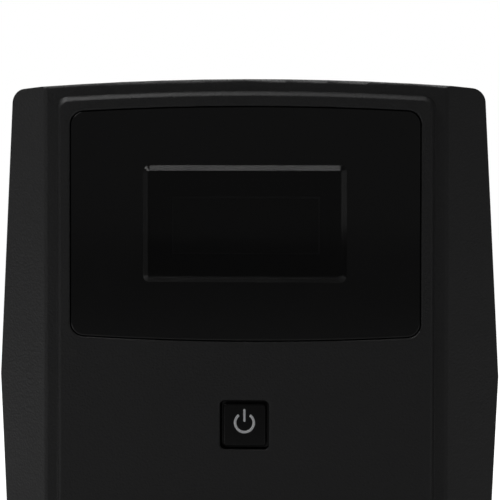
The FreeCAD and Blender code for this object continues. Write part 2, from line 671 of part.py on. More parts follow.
def transformer_core():
    """Stack of E and I laminations; the windings sit in its two windows."""
    y0, y1 = TR_Y - TR_STACK / 2, TR_Y + TR_STACK / 2
    core = box(-TR_W / 2, TR_W / 2, y0, y1, TR_Z, TR_Z + TR_H)
    for side in (-1, 1):
        inner, outer = side * TR_LEG, side * 2 * TR_LEG
        core = core.cut(box(min(inner, outer), max(inner, outer), y0 - 1, y1 + 1,
                            TR_Z + TR_LEG, TR_Z + TR_H - TR_LEG))
    corners = [(x, z) for x in (-TR_W / 2 + 7, TR_W / 2 - 7) for z in (TR_Z + 7, TR_Z + TR_H - 7)]
    return core.cut(group([rod(2.2, V(x, y0 - 1, z), V(x, y1 + 1, z)) for x, z in corners]))


def transformer_bobbin():
    """Plastic former round the core's middle leg, with a flange at each end."""
    z0, z1 = TR_Z + TR_LEG + 0.3, TR_Z + TR_H - TR_LEG - 0.3
    half_x, half_y = TR_LEG + 1.6, TR_STACK / 2 + 1.6
    tube = box(-half_x, half_x, TR_Y - half_y, TR_Y + half_y, z0, z1)
    flanges = [soft_box(-2 * TR_LEG + 0.4, 2 * TR_LEG - 0.4, TR_Y - half_y - 14, TR_Y + half_y + 14,
                        z, z + 1.5, 3.0, V(0, 0, 1)) for z in (z0, z1 - 1.5)]
    leg_x, leg_y = TR_LEG + 0.2, TR_STACK / 2 + 0.2
    leg = box(-leg_x, leg_x, TR_Y - leg_y, TR_Y + leg_y, z0 - 1, z1 + 1)
    return join([tube, *flanges]).cut(leg)


def transformer_windings():
    z0, z1 = TR_Z + TR_LEG + 1.9, TR_Z + TR_H - TR_LEG - 1.9
    half_x, half_y = TR_LEG + 1.7, TR_STACK / 2 + 1.7
    coil = soft_box(-2 * TR_LEG + 1.2, 2 * TR_LEG - 1.2, TR_Y - half_y - 12.5, TR_Y + half_y + 12.5,
                    z0, z1, 9.0, V(0, 0, 1))
    return coil.cut(box(-half_x, half_x, TR_Y - half_y, TR_Y + half_y, z0 - 1, z1 + 1))


def transformer_frame():
    """Steel strap over the core, with feet on the tray's bosses."""
    t = 1.2
    seat = FOOT_H + WALL + 3.0
    half_w, half_d = TR_W / 2, 24.0
    top = TR_Z + TR_H
    side = [box(min(x, x + s * t), max(x, x + s * t), TR_Y - half_d, TR_Y + half_d, seat, top + t)
            for s, x in ((-1, -half_w - 0.1), (1, half_w + 0.1))]
    feet = [box(min(x, x + s * 14), max(x, x + s * 14), TR_Y - half_d, TR_Y + half_d, seat, seat + t)
            for s, x in ((-1, -half_w - 0.1), (1, half_w + 0.1))]
    roof = box(-half_w - 0.1 - t, half_w + 0.1 + t, TR_Y - half_d, TR_Y + half_d, top + 0.05, top + t)
    frame = join([roof, *side, *feet])
    return frame.cut(group([rod(1.8, V(x, y, seat - 1), V(x, y, seat + 3)) for x, y in frame_feet()]))


# ---- main board ---------------------------------------------------------------------------
def main_board():
    board = soft_box(-58, 58, -126, 6, MAIN_Z, TOP_OF_MAIN, 2.0, V(0, 0, 1))
    return board.cut(group([rod(1.7, V(x, y, MAIN_Z - 1), V(x, y, TOP_OF_MAIN + 1)) for x, y in STANDOFFS]))


def board_standoffs():
    """Hexagonal pillars between deck and board."""
    pillars = []
    corners = [V(3.2 * math.cos(math.radians(a)), 3.2 * math.sin(math.radians(a)), DECK_Z + DECK_T)
               for a in range(0, 360, 60)]
    for x, y in STANDOFFS:
        pillar = prism([corner + V(x, y, 0) for corner in corners], V(0, 0, MAIN_Z - DECK_Z - DECK_T))
        pillars.append(pillar.cut(rod(1.45, V(x, y, DECK_Z), V(x, y, MAIN_Z + 1))))
    return group(pillars)


def board_screws():
    """Screws of both circuit boards."""
    back = Y_DISPLAY_BOARD + BOARD_T
    screws = [screw(V(x, back, z), V(0, -1, 0), 2.4, 1.6, 1.05, 8) for x, z in DISPLAY_POSTS]
    screws += [screw(V(x, y, TOP_OF_MAIN), V(0, 0, -1), 2.8, 1.8, 1.35, 6) for x, y in STANDOFFS]
    return group(screws)


def heatsinks():
    """Two finned extrusions, one along each side of the board."""
    sinks = []
    z0, height = TOP_OF_MAIN + 0.2, 34.0
    for side in (-1, 1):
        root, tip = side * 32.0, side * 50.0
        back = side * 36.0
        pieces = [box(min(root, back), max(root, back), -112, -24, z0, z0 + height)]
        for z in spaced(z0, z0 + height - 1.6, 5.4):
            pieces.append(box(min(back, tip), max(back, tip), -112, -24, z, z + 1.6))
        sinks.append(join(pieces))
    return group(sinks)


def power_transistors():
    """Four packages clamped to the flat side of each heatsink, each on three legs."""
    parts = []
    for side in (-1, 1):
        face, front = side * 31.95, side * 27.4
        x0, x1 = min(face, front), max(face, front)
        for y in (-100.0, -79.0, -58.0, -37.0):
            body = box(x0, x1, y - 5.2, y + 5.2, TOP_OF_MAIN + 7, TOP_OF_MAIN + 22)
            legs = [box(x0 + 1.8, x1 - 1.8, y + dy - 0.4, y + dy + 0.4, TOP_OF_MAIN, TOP_OF_MAIN + 7.5)
                    for dy in (-2.54, 0.0, 2.54)]
            parts.append(join([body, *legs]))
    return group(parts)


def capacitors():
    cans = []
    for x, y in ((-11, -101), (11, -101), (-11, -79), (11, -79)):
        can = Part.makeCylinder(9.0, 31, V(x, y, TOP_OF_MAIN))
        can = can.makeFillet(1.2, [e for e in can.Edges if e.BoundBox.ZMin > TOP_OF_MAIN + 30.9])
        groove = Part.makeTorus(9.4, 0.9, V(x, y, TOP_OF_MAIN + 3.5))
        cans.append(can.cut(groove))
    return group(cans)


def relays():
    return group([soft_box(x - 10, x + 10, y - 8, y + 8, TOP_OF_MAIN, TOP_OF_MAIN + 16, 0.8, V(0, 0, 1))
                  for x in (-13.5, 13.5) for y in (-54, -34)])


def choke_core():
    x, y, z = -16.0, -10.0, TOP_OF_MAIN + 2
    ring = Part.makeCylinder(10, 8, V(x, y, z)).cut(Part.makeCylinder(6, 10, V(x, y, z - 1)))
    return ring.makeFillet(1.0, [e for e in ring.Edges if not isinstance(e.Curve, Part.Line)])


def choke_winding():
    """Turns of wire round the choke's ring, as closed bands."""
    x, y, z = -16.0, -10.0, TOP_OF_MAIN + 2
    turns = []
    for i in range(12):
        outer = box(5.0, 11.0, -0.65, 0.65, -1.05, 9.05)
        band = outer.cut(box(5.95, 10.05, -1, 1, -0.05, 8.05))
        band.rotate(V(0, 0, 0), V(0, 0, 1), 15 + i * 30)
        band.translate(V(x, y, z))
        turns.append(band)
    return group(turns)


def blade_fuses():
    """Two battery fuses standing in their clips."""
    fuses = []
    for y in (-14.0, -3.0):
        x = 14.0
        clip = box(x - 10, x + 10, y - 3, y + 3, TOP_OF_MAIN, TOP_OF_MAIN + 7)
        z = TOP_OF_MAIN + 7
        fuse = soft_box(x - 9.5, x + 9.5, y - 2.4, y + 2.4, z, z + 10, 0.8, V(0, 1, 0))
        fuses.append(join([clip, fuse]))
    return group(fuses)


# ---- leads --------------------------------------------------------------------------------
def tab_top():
    return BATT_Z + BATT_H + 6.4


def board_lead(x, y, side):
    """Lead from a battery tab, up and over to the board beside it."""
    foot_x = x - side * 14
    return lead([V(x, y, tab_top()), V(x, y, 122), V(x - side * 12, y - 9, 127), V(foot_x, -7, 126),
                 V(foot_x, -7, TOP_OF_MAIN)], 1.9)


def battery_leads_red():
    return board_lead(terminal_xs(-1)[0], terminal_y(), -1)


def battery_leads_black():
    """The negative lead to the board, and the link that puts the two batteries in series."""
    y = terminal_y()
    a, b = terminal_xs(-1)[1], terminal_xs(1)[0]
    link = [V(a, y, tab_top()), V(a, y, 120), V(b, y, 120), V(b, y, tab_top())]
    return group([board_lead(terminal_xs(1)[1], y, 1), lead(link, 1.9)])


def display_cable():
    back = Y_DISPLAY_BOARD + BOARD_T
    return lead([V(20, back, 140), V(20, back + 12, 140), V(20, back + 22, 128), V(20, -120, 122),
                 V(20, -120, TOP_OF_MAIN)], 1.6)


def mains_leads():
    """Three leads from the inlet, up behind the transformer and over it to the board."""
    x0, z0 = MAINS_INLET
    leads = []
    for i, dx in enumerate((-6.0, 0.0, 6.0)):
        route = [V(x0 + dx, Y_BACK - 25, z0), V(x0 + dx, 132, z0 + 4), V(x0 + dx, 130, 84),
                 V(x0 + dx + 4, 112, 104), V(x0 + dx + 8, 40, 112), V(x0 + dx + 8, 8, 124),
                 V(x0 + dx + 8, 0, 122), V(x0 + dx + 8, 0, TOP_OF_MAIN)]
        leads.append(lead(route, 1.4))
    return group(leads)


# ---- rear fittings ------------------------------------------------------------------------
def round_outlet(place):
    """Earthed socket: a round well with two holes, guide ribs at its sides and slots for the earth clips."""
    x, z = place
    well_r, well_d = 19.6, 17.5
    flange = face_block(place, 47.0, 47.0, Y_BACK, Y_RIM, 4.0)
    flange = flange.makeFillet(0.8, edges_at_y(flange, Y_RIM))
    barrel = rod(22.3, V(x, Y_RIM - 24, z), V(x, Y_BACK + 0.5, z))
    well = rod(well_r, V(x, Y_RIM - well_d, z), V(x, Y_RIM + 1, z))
    ribs = box(-well_r - 1, well_r + 1, Y_RIM - well_d, Y_RIM - 3, -2.4, 2.4)
    ribs = ribs.cut(box(-well_r + 1.8, well_r - 1.8, Y_RIM - well_d - 1, Y_RIM, -3, 3))
    ribs.translate(V(x, 0, z))
    holes = [rod(2.6, V(x + dx, Y_RIM - well_d - 5, z), V(x + dx, Y_RIM, z)) for dx in (-9.5, 9.5)]
    slots = box(x - 3.2, x + 3.2, Y_RIM - well_d - 1.5, Y_RIM - 0.9, z - well_r - 1.4, z + well_r + 1.4)
    body = join([flange, barrel]).cut(well.cut(ribs))
    return body.cut(group(holes)).cut(slots.cut(rod(well_r - 3.4, V(x, 100, z), V(x, 200, z))))


def earth_clips():
    """Sprung earth contacts at the top and bottom of each round outlet."""
    clips = []
    well_r = 19.6
    for x, z in ROUND_OUTLETS.values():
        for up in (-1, 1):
            foot, bow, lip = well_r + 1.3, well_r - 1.6, well_r + 0.5
            y_in, y_out = Y_RIM - 18.9, Y_RIM - 1.2
            outer = [(y_in, foot), (y_in + 4, foot), (y_in + 9, bow + 0.8), (y_out - 4, bow + 0.8),
                     (y_out, lip + 0.8)]
            inner = [(y, r - 0.7) for y, r in reversed(outer)]
            points = [V(x - 2.8, y, z + up * r) for y, r in [*outer, *inner]]
            clips.append(prism(points, V(5.6, 0, 0)))
    return group(clips)


def coupler_outline(place, width, height, y0, y1):
    """Block with two cut corners at the top, the shape of a mains appliance coupler."""
    x, z = place
    w, h, cut = width / 2, height / 2, height * 0.24
    points = [(-w, -h), (w, -h), (w, h - cut), (w - cut, h), (-w + cut, h), (-w, h - cut)]
    return prism([V(x + px, y0, z + pz) for px, pz in points], V(0, y1 - y0, 0))


def coupler_shell(place):
    """Snap-in body shared by the inlet and the outlets: flange outside, box inside."""
    flange = face_block(place, 32.0, 25.0, Y_BACK, Y_RIM - 0.3, 2.0)
    flange = flange.makeFillet(0.6, edges_at_y(flange, Y_RIM - 0.3))
    barrel = face_block(place, 27.2, 20.2, Y_BACK - 22, Y_BACK + 0.5, 0.8)
    return join([flange, barrel])


def appliance_outlet(place):
    x, z = place
    mouth = Y_RIM - 0.3
    moat = coupler_outline(place, 24.6, 17.0, mouth - 17, mouth + 1)
    block = coupler_outline(place, 20.2, 12.6, mouth - 18, mouth - 0.8)
    body = coupler_shell(place).cut(moat.cut(block))
    slots = [box(x + dx - 1.2, x + dx + 1.2, mouth - 15, mouth + 1, z + dz - 2.2, z + dz + 2.2)
             for dx, dz in coupler_pins()]
    return body.cut(group(slots))


def coupler_pins():
    """Places of live, earth and neutral from the coupler's middle."""
    return ((-7.0, -1.8), (0.0, 2.0), (7.0, -1.8))


def mains_inlet():
    mouth = Y_RIM - 0.3
    return coupler_shell(MAINS_INLET).cut(coupler_outline(MAINS_INLET, 24.6, 17.2, mouth - 17.5, mouth + 1))


def mains_inlet_pins():
    x, z = MAINS_INLET
    y0, y1 = Y_RIM - 17.8, Y_RIM - 3.2
    pins = []
    for dx, dz in coupler_pins():
        pin = box(x + dx - 1.0, x + dx + 1.0, y0, y1, z + dz - 2.0, z + dz + 2.0)
        pins.append(pin.makeChamfer(0.6, edges_at_y(pin, y1)))
    return group(pins)


def breaker_body():
    """Thermal breaker: its case hangs behind the panel on a threaded bush."""
    x, z = BREAKER
    case = soft_box(x - 8, x + 8, Y_BACK_IN - 27, Y_BACK_IN, z - 14, z + 14, 1.5)
    bush = rod(5.5, V(x, Y_BACK_IN - 0.5, z), V(x, Y_RIM + 0.9, z))
    blades = [box(x + dx - 0.4, x + dx + 0.4, Y_BACK_IN - 36, Y_BACK_IN - 26, z - 3.2, z + 3.2)
              for dx in (-4, 4)]
    return join([case, bush, *blades]).cut(rod(3.35, V(x, Y_BACK_IN - 14, z), V(x, Y_RIM + 2, z)))


def breaker_nut():
    x, z = BREAKER
    corners = [V(x + 8.2 * math.cos(math.radians(a)), Y_BACK, z + 8.2 * math.sin(math.radians(a)))
               for a in range(0, 360, 60)]
    nut = prism(corners, V(0, 2.4, 0))
    return nut.cut(rod(5.55, V(x, Y_BACK - 1, z), V(x, Y_RIM + 1, z)))


def breaker_button():
    x, z = BREAKER
    button = rod(3.2, V(x, Y_BACK_IN - 10, z), V(x, Y_TIP, z))
    return button.makeFillet(0.6, edges_at_y(button, Y_TIP))


def data_port():
    """Square data socket: a shell with two cut corners round a tongue."""
    x, z = DATA_PORT
    y0, y1 = Y_BACK - 16, Y_BACK + 0.6
    shell = coupler_outline(DATA_PORT, 12.0, 11.0, y0, y1)
    well = coupler_outline(DATA_PORT, 8.6, 7.8, y0 + 2, y1 + 1)
    tongue = box(x - 2.8, x + 2.8, y0 + 1, y1 - 1.2, z - 1.6, z + 1.6)
    return join([shell.cut(well), tongue])


def network_ports():
    """Block of two data-line surge sockets, each with a step for the plug's latch."""
    x, z = NETWORK
    y0, y1 = Y_BACK - 18, Y_BACK + 0.8
    block = face_block(NETWORK, 33.0, 16.0, y0, y1, 0.6)
    for dx in network_wells():
        well = box(x + dx - 6.0, x + dx + 6.0, y1 - 14, y1 + 1, z - 3.6, z + 4.4)
        step = box(x + dx - 3.2, x + dx + 3.2, y1 - 10, y1 + 1, z - 5.4, z - 3.5)
        block = block.cut(join([well, step]))
    return block


def network_wells():
    return (-7.6, 7.6)


def fan_frame():
    """Square frame with a round duct, a hub for the bearing and three struts."""
    x, z = FAN
    half = FAN_SIZE / 2
    y0, y1 = Y_BACK_IN - FAN_T, Y_BACK_IN - 0.1
    frame = soft_box(x - half, x + half, y0, y1, z - half, z + half, 4.0)
    frame = frame.cut(rod(28.4, V(x, y0 - 1, z), V(x, y1 + 1, z)))
    waist = soft_box(x - half - 1, x + half + 1, y0 + 3.5, y1 - 3.5, z - half - 1, z + half + 1, 4.0)
    frame = frame.cut(waist.cut(rod(29.6, V(x, y0, z), V(x, y1, z))))
    frame = frame.cut(group([rod(2.1, V(px, y0 - 1, pz), V(px, y1 + 1, pz)) for px, pz in fan_holes()]))
    hub = rod(13.5, V(x, y1 - 2.5, z), V(x, y1, z))
    bearing = rod(4.0, V(x, y1 - 12.5, z), V(x, y1 - 2, z))
    struts = []
    for turn in (90, 210, 330):
        strut = box(12, 29, y1 - 2.5, y1, -2.0, 2.0)
        strut.rotate(V(0, 0, 0), V(0, 1, 0), turn)
        strut.translate(V(x, 0, z))
        struts.append(strut)
    whole = join([frame, hub, bearing, *struts])
    return whole.cut(rod(1.55, V(x, y1 - 14, z), V(x, y1 - 1.2, z)))


def fan_stator():
    """Wound iron and its board, pressed round the bearing tube."""
    x, z = FAN
    y1 = Y_BACK_IN - 0.1
    spool = rod(7.0, V(x, y1 - 11, z), V(x, y1 - 4, z))
    arms = []
    for turn in (0, 90, 180, 270):
        arm = join([box(5, 10.4, y1 - 9.5, y1 - 5.5, -1.8, 1.8), box(9.2, 10.4, y1 - 10, y1 - 5, -4.2, 4.2)])
        arm.rotate(V(0, 0, 0), V(0, 1, 0), turn)
        arm.translate(V(x, 0, z))
        arms.append(arm)
    board = rod(11.0, V(x, y1 - 3.9, z), V(x, y1 - 2.7, z))
    bore = rod(4.02, V(x, y1 - 20, z), V(x, y1, z))
    return join([spool, *arms, board, rod(6.0, V(x, y1 - 4.2, z), V(x, y1 - 3.5, z))]).cut(bore)


def fan_rotor():
    """Cup with seven twisted blades and the shaft that runs in the bearing."""
    x, z = FAN
    y1 = Y_BACK_IN - 0.1
    y0 = y1 - FAN_T + 1.6
    cup = rod(14.0, V(0, y0, 0), V(0, y1 - 3.2, 0))
    cup = cup.makeFillet(1.5, edges_at_y(cup, y0))
    cup = cup.cut(rod(12.2, V(0, y0 + 1.6, 0), V(0, y1, 0)))
    shaft = rod(1.5, V(0, y0 + 1, 0), V(0, y1 - 1.8, 0))
    blades = [fan_blade((y0 + y1 - 3.0) / 2, i * 360 / 7) for i in range(7)]
    rotor = join([cup, shaft, *blades])
    rotor = rotor.common(rod(27.2, V(0, y0 - 1, 0), V(0, y1, 0)))
    rotor.translate(V(x, 0, z))
    return rotor


def fan_blade(middle, turn):
    """A twisted blade that leans less at its tip than at its root, turned to its place round the hub."""
    half_w, half_t = 7.5, 0.6
    sections = []
    for radius, lean in ((12.6, 48.0), (20.5, 38.0), (27.4, 30.0)):
        run, rise = math.cos(math.radians(lean)), math.sin(math.radians(lean))
        points = []
        for a, b in ((-1, -1), (1, -1), (1, 1), (-1, 1)):
            across, along = a * half_w, b * half_t
            points.append(V(across * run - along * rise, middle + across * rise + along * run, radius))
        sections.append(Part.makePolygon([*points, points[0]]))
    blade = Part.makeLoft(sections, True, True)
    blade.rotate(V(0, 0, 0), V(0, 1, 0), turn)
    return blade


def fan_screws():
    return group([screw(V(x, Y_BACK, z), V(0, -1, 0), 3.6, 2.2, 1.95, 16) for x, z in fan_holes()])


# ---- the assembly -------------------------------------------------------------------------
PARTS = {
    "front_bezel": front_bezel,
    "top_cover": top_cover,
    "base_tray": base_tray,
    "rear_panel": rear_panel,
    "rubber_feet": rubber_feet,
    "case_screws": case_screws,
    "rear_panel_screws": rear_panel_screws,
    "display_plate": display_plate,
    "display_lens": display_lens,
    "lcd_glass": lcd_glass,
    "lcd_holder": lcd_holder,
    "display_board": display_board,
    "alarm_buzzer": alarm_buzzer,
    "power_button": power_button,
    "power_symbol": symbol_shape,
    "button_spring": button_spring,
    "switch_body": switch_body,
    "switch_plunger": switch_plunger,
    "battery_case_left": lambda: battery_case(-1),
    "battery_case_right": lambda: battery_case(1),
    "battery_lid_left": lambda: battery_lid(-1),
    "battery_lid_right": lambda: battery_lid(1),
    "battery_plates": battery_plates,
    "battery_terminals": battery_terminals,
    "battery_bracket": battery_bracket,
    "floor_screws": floor_screws,
    "transformer_core": transformer_core,
    "transformer_bobbin": transformer_bobbin,
    "transformer_windings": transformer_windings,
    "transformer_frame": transformer_frame,
    "main_board": main_board,
    "board_standoffs": board_standoffs,
    "board_screws": board_screws,
    "heatsinks": heatsinks,
    "power_transistors": power_transistors,
    "capacitors": capacitors,
    "relays": relays,
    "choke_core": choke_core,
    "choke_winding": choke_winding,
    "blade_fuses": blade_fuses,
    "battery_leads_red": battery_leads_red,
    "battery_leads_black": battery_leads_black,
    "display_cable": display_cable,
    "mains_leads": mains_leads,
    "round_outlet_left": lambda: round_outlet(ROUND_OUTLETS["left"]),
    "round_outlet_right": lambda: round_outlet(ROUND_OUTLETS["right"]),
    "earth_clips": earth_clips,
    "appliance_outlet_left": lambda: appliance_outlet(APPLIANCE_OUTLETS["left"]),
    "appliance_outlet_right": lambda: appliance_outlet(APPLIANCE_OUTLETS["right"]),
    "mains_inlet": mains_inlet,
    "mains_inlet_pins": mains_inlet_pins,
    "breaker_body": breaker_body,
    "breaker_nut": breaker_nut,
    "breaker_button": breaker_button,
    "data_port": data_port,
    "network_ports": network_ports,
    "fan_frame": fan_frame,
    "fan_rotor": fan_rotor,
    "fan_stator": fan_stator,
    "fan_screws": fan_screws,
}


def main():
    os.makedirs("parts", exist_ok=True)
    for name, make in PARTS.items():
        shape = make()
        state = "" if shape.isValid() and all(s.isClosed() for s in shape.Solids) else "  NOT VALID"
        print(f"{name:24s} {len(shape.Solids):3d} solids {shape.Volume / 1000:9.2f} cm3{state}")
        shape.exportStep(f"parts/{name}.step")


main()
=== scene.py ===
"""Looks of the tower power supply: its finishes, the small fittings on it, and a plain studio."""

import math

import bmesh
import bpy
from bpy.props import FloatProperty, FloatVectorProperty, PointerProperty
from mathutils import Euler, Matrix, Vector


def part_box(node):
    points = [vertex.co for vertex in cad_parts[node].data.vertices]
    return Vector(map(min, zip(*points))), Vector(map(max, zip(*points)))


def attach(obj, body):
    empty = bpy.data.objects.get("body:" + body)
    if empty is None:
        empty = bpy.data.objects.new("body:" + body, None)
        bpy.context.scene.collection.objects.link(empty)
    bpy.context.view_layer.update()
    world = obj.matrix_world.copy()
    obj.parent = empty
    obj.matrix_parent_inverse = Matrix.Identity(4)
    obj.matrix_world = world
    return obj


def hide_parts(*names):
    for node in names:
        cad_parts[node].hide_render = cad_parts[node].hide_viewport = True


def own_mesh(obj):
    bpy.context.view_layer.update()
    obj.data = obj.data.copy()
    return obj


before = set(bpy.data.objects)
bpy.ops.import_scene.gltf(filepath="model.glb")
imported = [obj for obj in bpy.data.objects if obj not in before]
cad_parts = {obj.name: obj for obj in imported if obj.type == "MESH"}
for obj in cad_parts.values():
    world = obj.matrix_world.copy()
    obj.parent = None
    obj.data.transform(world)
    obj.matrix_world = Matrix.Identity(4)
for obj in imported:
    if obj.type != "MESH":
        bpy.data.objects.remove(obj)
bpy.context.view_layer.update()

bl_info = {
    "name": "Tower power supply",
    "version": (1, 0, 0),
    "blender": (4, 5, 0),
    "location": "View3D > Sidebar > Power supply",
    "description": "Finishes and fittings of a tower power supply, built round its CAD frame",
    "category": "Object",
}

# ---- sizes ----------------------------------------------------------------------------------
MM = 0.001
RATING_PLATE = {"width": 74 * MM, "height": 42 * MM, "corner": 3 * MM, "thickness": 0.12 * MM}
RATING_PLATE_Y = -68 * MM
FAN_LABEL = {"radius": 11.8 * MM, "hole": 0.4 * MM, "thickness": 0.06 * MM}
LCD_FRAME_HALF_W, LCD_FRAME_HALF_H = 21.45 * MM, 8.35 * MM
LCD_FRAME_RIM, LCD_FRAME_DEPTH, LCD_FRAME_STANDS_OFF = 0.3 * MM, 0.4 * MM, 0.7 * MM

# inside the ports and outlets, in millimetres; slots are measured from the middle of their outlet
WELLS_APART = 15.2
CONTACT_PITCH = 1.02
PIN_HOLES_APART = 19.0
COUPLER_SLOTS = ((-7.0, -1.8), (0.0, 2.0), (7.0, -1.8))

# in metres and radians; the camera's lens and sensor are in millimetres
LAMP_AIM = Vector((0, -0.1, 0.1))
CAMERA_PLACE = (0.05319, -0.8736, 0.12770)
CAMERA_TURN, CAMERA_TILT, CAMERA_ROLL = 0.07363, -0.02394, 0.00138
CAMERA_LENS, CAMERA_SENSOR = 176.15, 36.0


# ---- values that the panel shows ------------------------------------------------------------
def colour(name, text, value):
    """A colour the maker can change in the panel."""
    return FloatVectorProperty(name=name, description=text, default=value, size=3, subtype="COLOR",
                               min=0, max=1)


def power(name, text, value):
    """A lamp's power in watts, changed in the panel."""
    return FloatProperty(name=name, description=text, default=value, subtype="POWER", unit="POWER", min=0)


class CaseFinish(bpy.types.PropertyGroup):
    """Moulded plastic of the case and the gloss parts on its front."""

    shell: colour("Case", "Colour of the moulded case", (0.0115, 0.0115, 0.012))
    gloss: colour("Display plate", "Colour of the gloss display plate", (0.0022, 0.0022, 0.0024))
    lens: colour("Lens", "Colour of the smoked lens", (0.0012, 0.0012, 0.0014))
    button: colour("Button", "Colour of the power button", (0.001, 0.001, 0.0011))
    mark: colour("Standby mark", "Colour of the paint in the standby mark", (0.8, 0.81, 0.82))
    grain: FloatProperty(name="Grain", description="Size of the spark texture on the case", default=0.00058,
                         subtype="DISTANCE", unit="LENGTH", min=0.0001, max=0.002)


class InsideFinish(bpy.types.PropertyGroup):
    """Parts behind the case."""

    board: colour("Circuit board", "Colour of the boards' solder mask", (0.012, 0.11, 0.042))
    battery: colour("Battery", "Colour of the battery cases", (0.06, 0.064, 0.072))
    copper: colour("Windings", "Colour of enamelled copper", (0.55, 0.2, 0.075))


class StudioLight(bpy.types.PropertyGroup):
    """Lamps round the object."""

    top: power("Overhead", "Power of the lamp overhead", 1.32)
    left: power("Left", "Power of the soft lamp, front left", 0.43)
    right: power("Right", "Power of the upright lamp on the right; the left one has half", 0.115)
    edge: power("Edges", "Power of the small lamps that draw the top edges", 2.7)
    side: power("Sides", "Power of the small lamps high up at the sides", 0.25)
    back: power("Back", "Power of the lamp behind", 2.0)
    bounce_left: power("Left bounce", "Power of the light that comes up from the table on the left", 0.35)
    bounce_right: power("Right bounce", "Power of the light that comes up from the table on the right", 0.13)
    room: FloatProperty(name="Room", description="Brightness of the room", default=0.116, min=0, max=1,
                        subtype="FACTOR")


# ---- node helpers ---------------------------------------------------------------------------
class Tree:
    """Adds nodes to a tree and joins them with short calls."""

    def __init__(self, tree):
        self.tree = tree
        self.count = 0

    def add(self, kind, **settings):
        node = self.tree.nodes.new(kind)
        node.location = ((self.count % 8) * 200, -(self.count // 8) * 260)
        self.count += 1
        for name, value in settings.items():
            setattr(node, name, value)
        return node

    def put(self, socket, value):
        if isinstance(value, bpy.types.NodeSocket):
            self.tree.links.new(value, socket)
        elif hasattr(socket.default_value, "__len__"):
            value = tuple(value)
            socket.default_value = value + (1.0,) * (len(socket.default_value) - len(value))
        else:
            socket.default_value = value

    def use(self, kind, inputs, out=0, **settings):
        node = self.add(kind, **settings)
        for name, value in inputs.items():
            self.put(node.inputs[name], value)
        return node.outputs[out]

    def math(self, what, a, b=0.0, clamp=False):
        return self.use("ShaderNodeMath", {0: a, 1: b}, operation=what, use_clamp=clamp)

    def mix(self, share, a, b):
        node = self.add("ShaderNodeMix", data_type="RGBA")
        self.put(node.inputs["Factor"], share)
        self.put(node.inputs["A"], a)
        self.put(node.inputs["B"], b)
        return node.outputs["Result"]

    def span(self, value, low, high, to_low=0.0, to_high=1.0):
        return self.use("ShaderNodeMapRange", {"Value": value, "From Min": low, "From Max": high,
                                               "To Min": to_low, "To Max": to_high})

    def noise(self, where, scale, detail=2.0, rough=0.5):
        return self.use("ShaderNodeTexNoise", {"Vector": where, "Scale": scale, "Detail": detail,
                                               "Roughness": rough})

    def effect(self, group, inputs):
        node = self.add("ShaderNodeGroup", node_tree=group)
        for name, value in inputs.items():
            self.put(node.inputs[name], value)
        return node.outputs


def new_effect(name, inputs, outputs):
    """An empty node group with named sockets."""
    group = bpy.data.node_groups.new(name, "ShaderNodeTree")
    kinds = {"value": "NodeSocketFloat", "vector": "NodeSocketVector"}
    for label, kind, start in inputs:
        socket = group.interface.new_socket(label, in_out="INPUT", socket_type=kinds[kind])
        socket.default_value = start
    for label, kind in outputs:
        group.interface.new_socket(label, in_out="OUTPUT", socket_type=kinds[kind])
    tree = Tree(group)
    return group, tree, tree.add("NodeGroupInput").outputs, tree.add("NodeGroupOutput")


def spark_grain():
    """Fine spark-eroded texture of a mould, its height and the faint change of gloss it brings."""
    group, t, given, end = new_effect("spark grain", [("Size", "value", 0.00045), ("Depth", "value", 1.0)],
                                      [("Height", "value"), ("Gloss", "value"), ("Tone", "value")])
    where = t.use("ShaderNodeTexCoord", {}, out=3)
    scale = t.math("DIVIDE", 1.0, given["Size"])
    fine = t.noise(where, scale, 2.0, 0.6)
    pits = t.use("ShaderNodeTexVoronoi", {"Vector": where, "Scale": t.math("MULTIPLY", scale, 0.8)})
    broad = t.noise(where, 18.0, 3.0, 0.55)
    height = t.math("ADD", t.math("MULTIPLY", fine, 0.65), t.math("MULTIPLY", pits, 0.45))
    t.put(end.inputs["Height"], t.math("MULTIPLY", height, given["Depth"]))
    t.put(end.inputs["Gloss"], t.math("ADD", t.span(fine, 0.3, 0.7, -0.08, 0.08),
                                      t.span(broad, 0.3, 0.7, -0.03, 0.03)))
    t.put(end.inputs["Tone"], t.math("MULTIPLY", t.span(broad, 0.3, 0.7, 0.94, 1.06),
                                     t.span(fine, 0.3, 0.7, 0.75, 1.25)))
    return group


def edge_wear():
    """Where the edges are, where they are rubbed in patches, and a normal that rounds them."""
    group, t, given, end = new_effect("edge wear", [("Reach", "value", 0.0008), ("Amount", "value", 0.6)],
                                      [("Edge", "value"), ("Mask", "value"), ("Normal", "vector")])
    rounded = t.use("ShaderNodeBevel", {"Radius": given["Reach"]}, samples=4)
    face = t.use("ShaderNodeNewGeometry", {}, out=1)
    lean = t.use("ShaderNodeVectorMath", {0: rounded, 1: face}, out=1, operation="DOT_PRODUCT")
    turned = t.span(lean, 0.995, 0.86)
    where = t.use("ShaderNodeTexCoord", {}, out=3)
    broken = t.span(t.noise(where, 160.0, 4.0, 0.65), 0.38, 0.66)
    # Edge also serves moulded plastic as the mask of its painted edge highlight, besides lowering its
    # roughness
    t.put(end.inputs["Edge"], turned)
    rubbed = t.math("MULTIPLY", turned, broken)
    t.put(end.inputs["Mask"], t.math("MULTIPLY", rubbed, given["Amount"], clamp=True))
    t.put(end.inputs["Normal"], rounded)
    return group


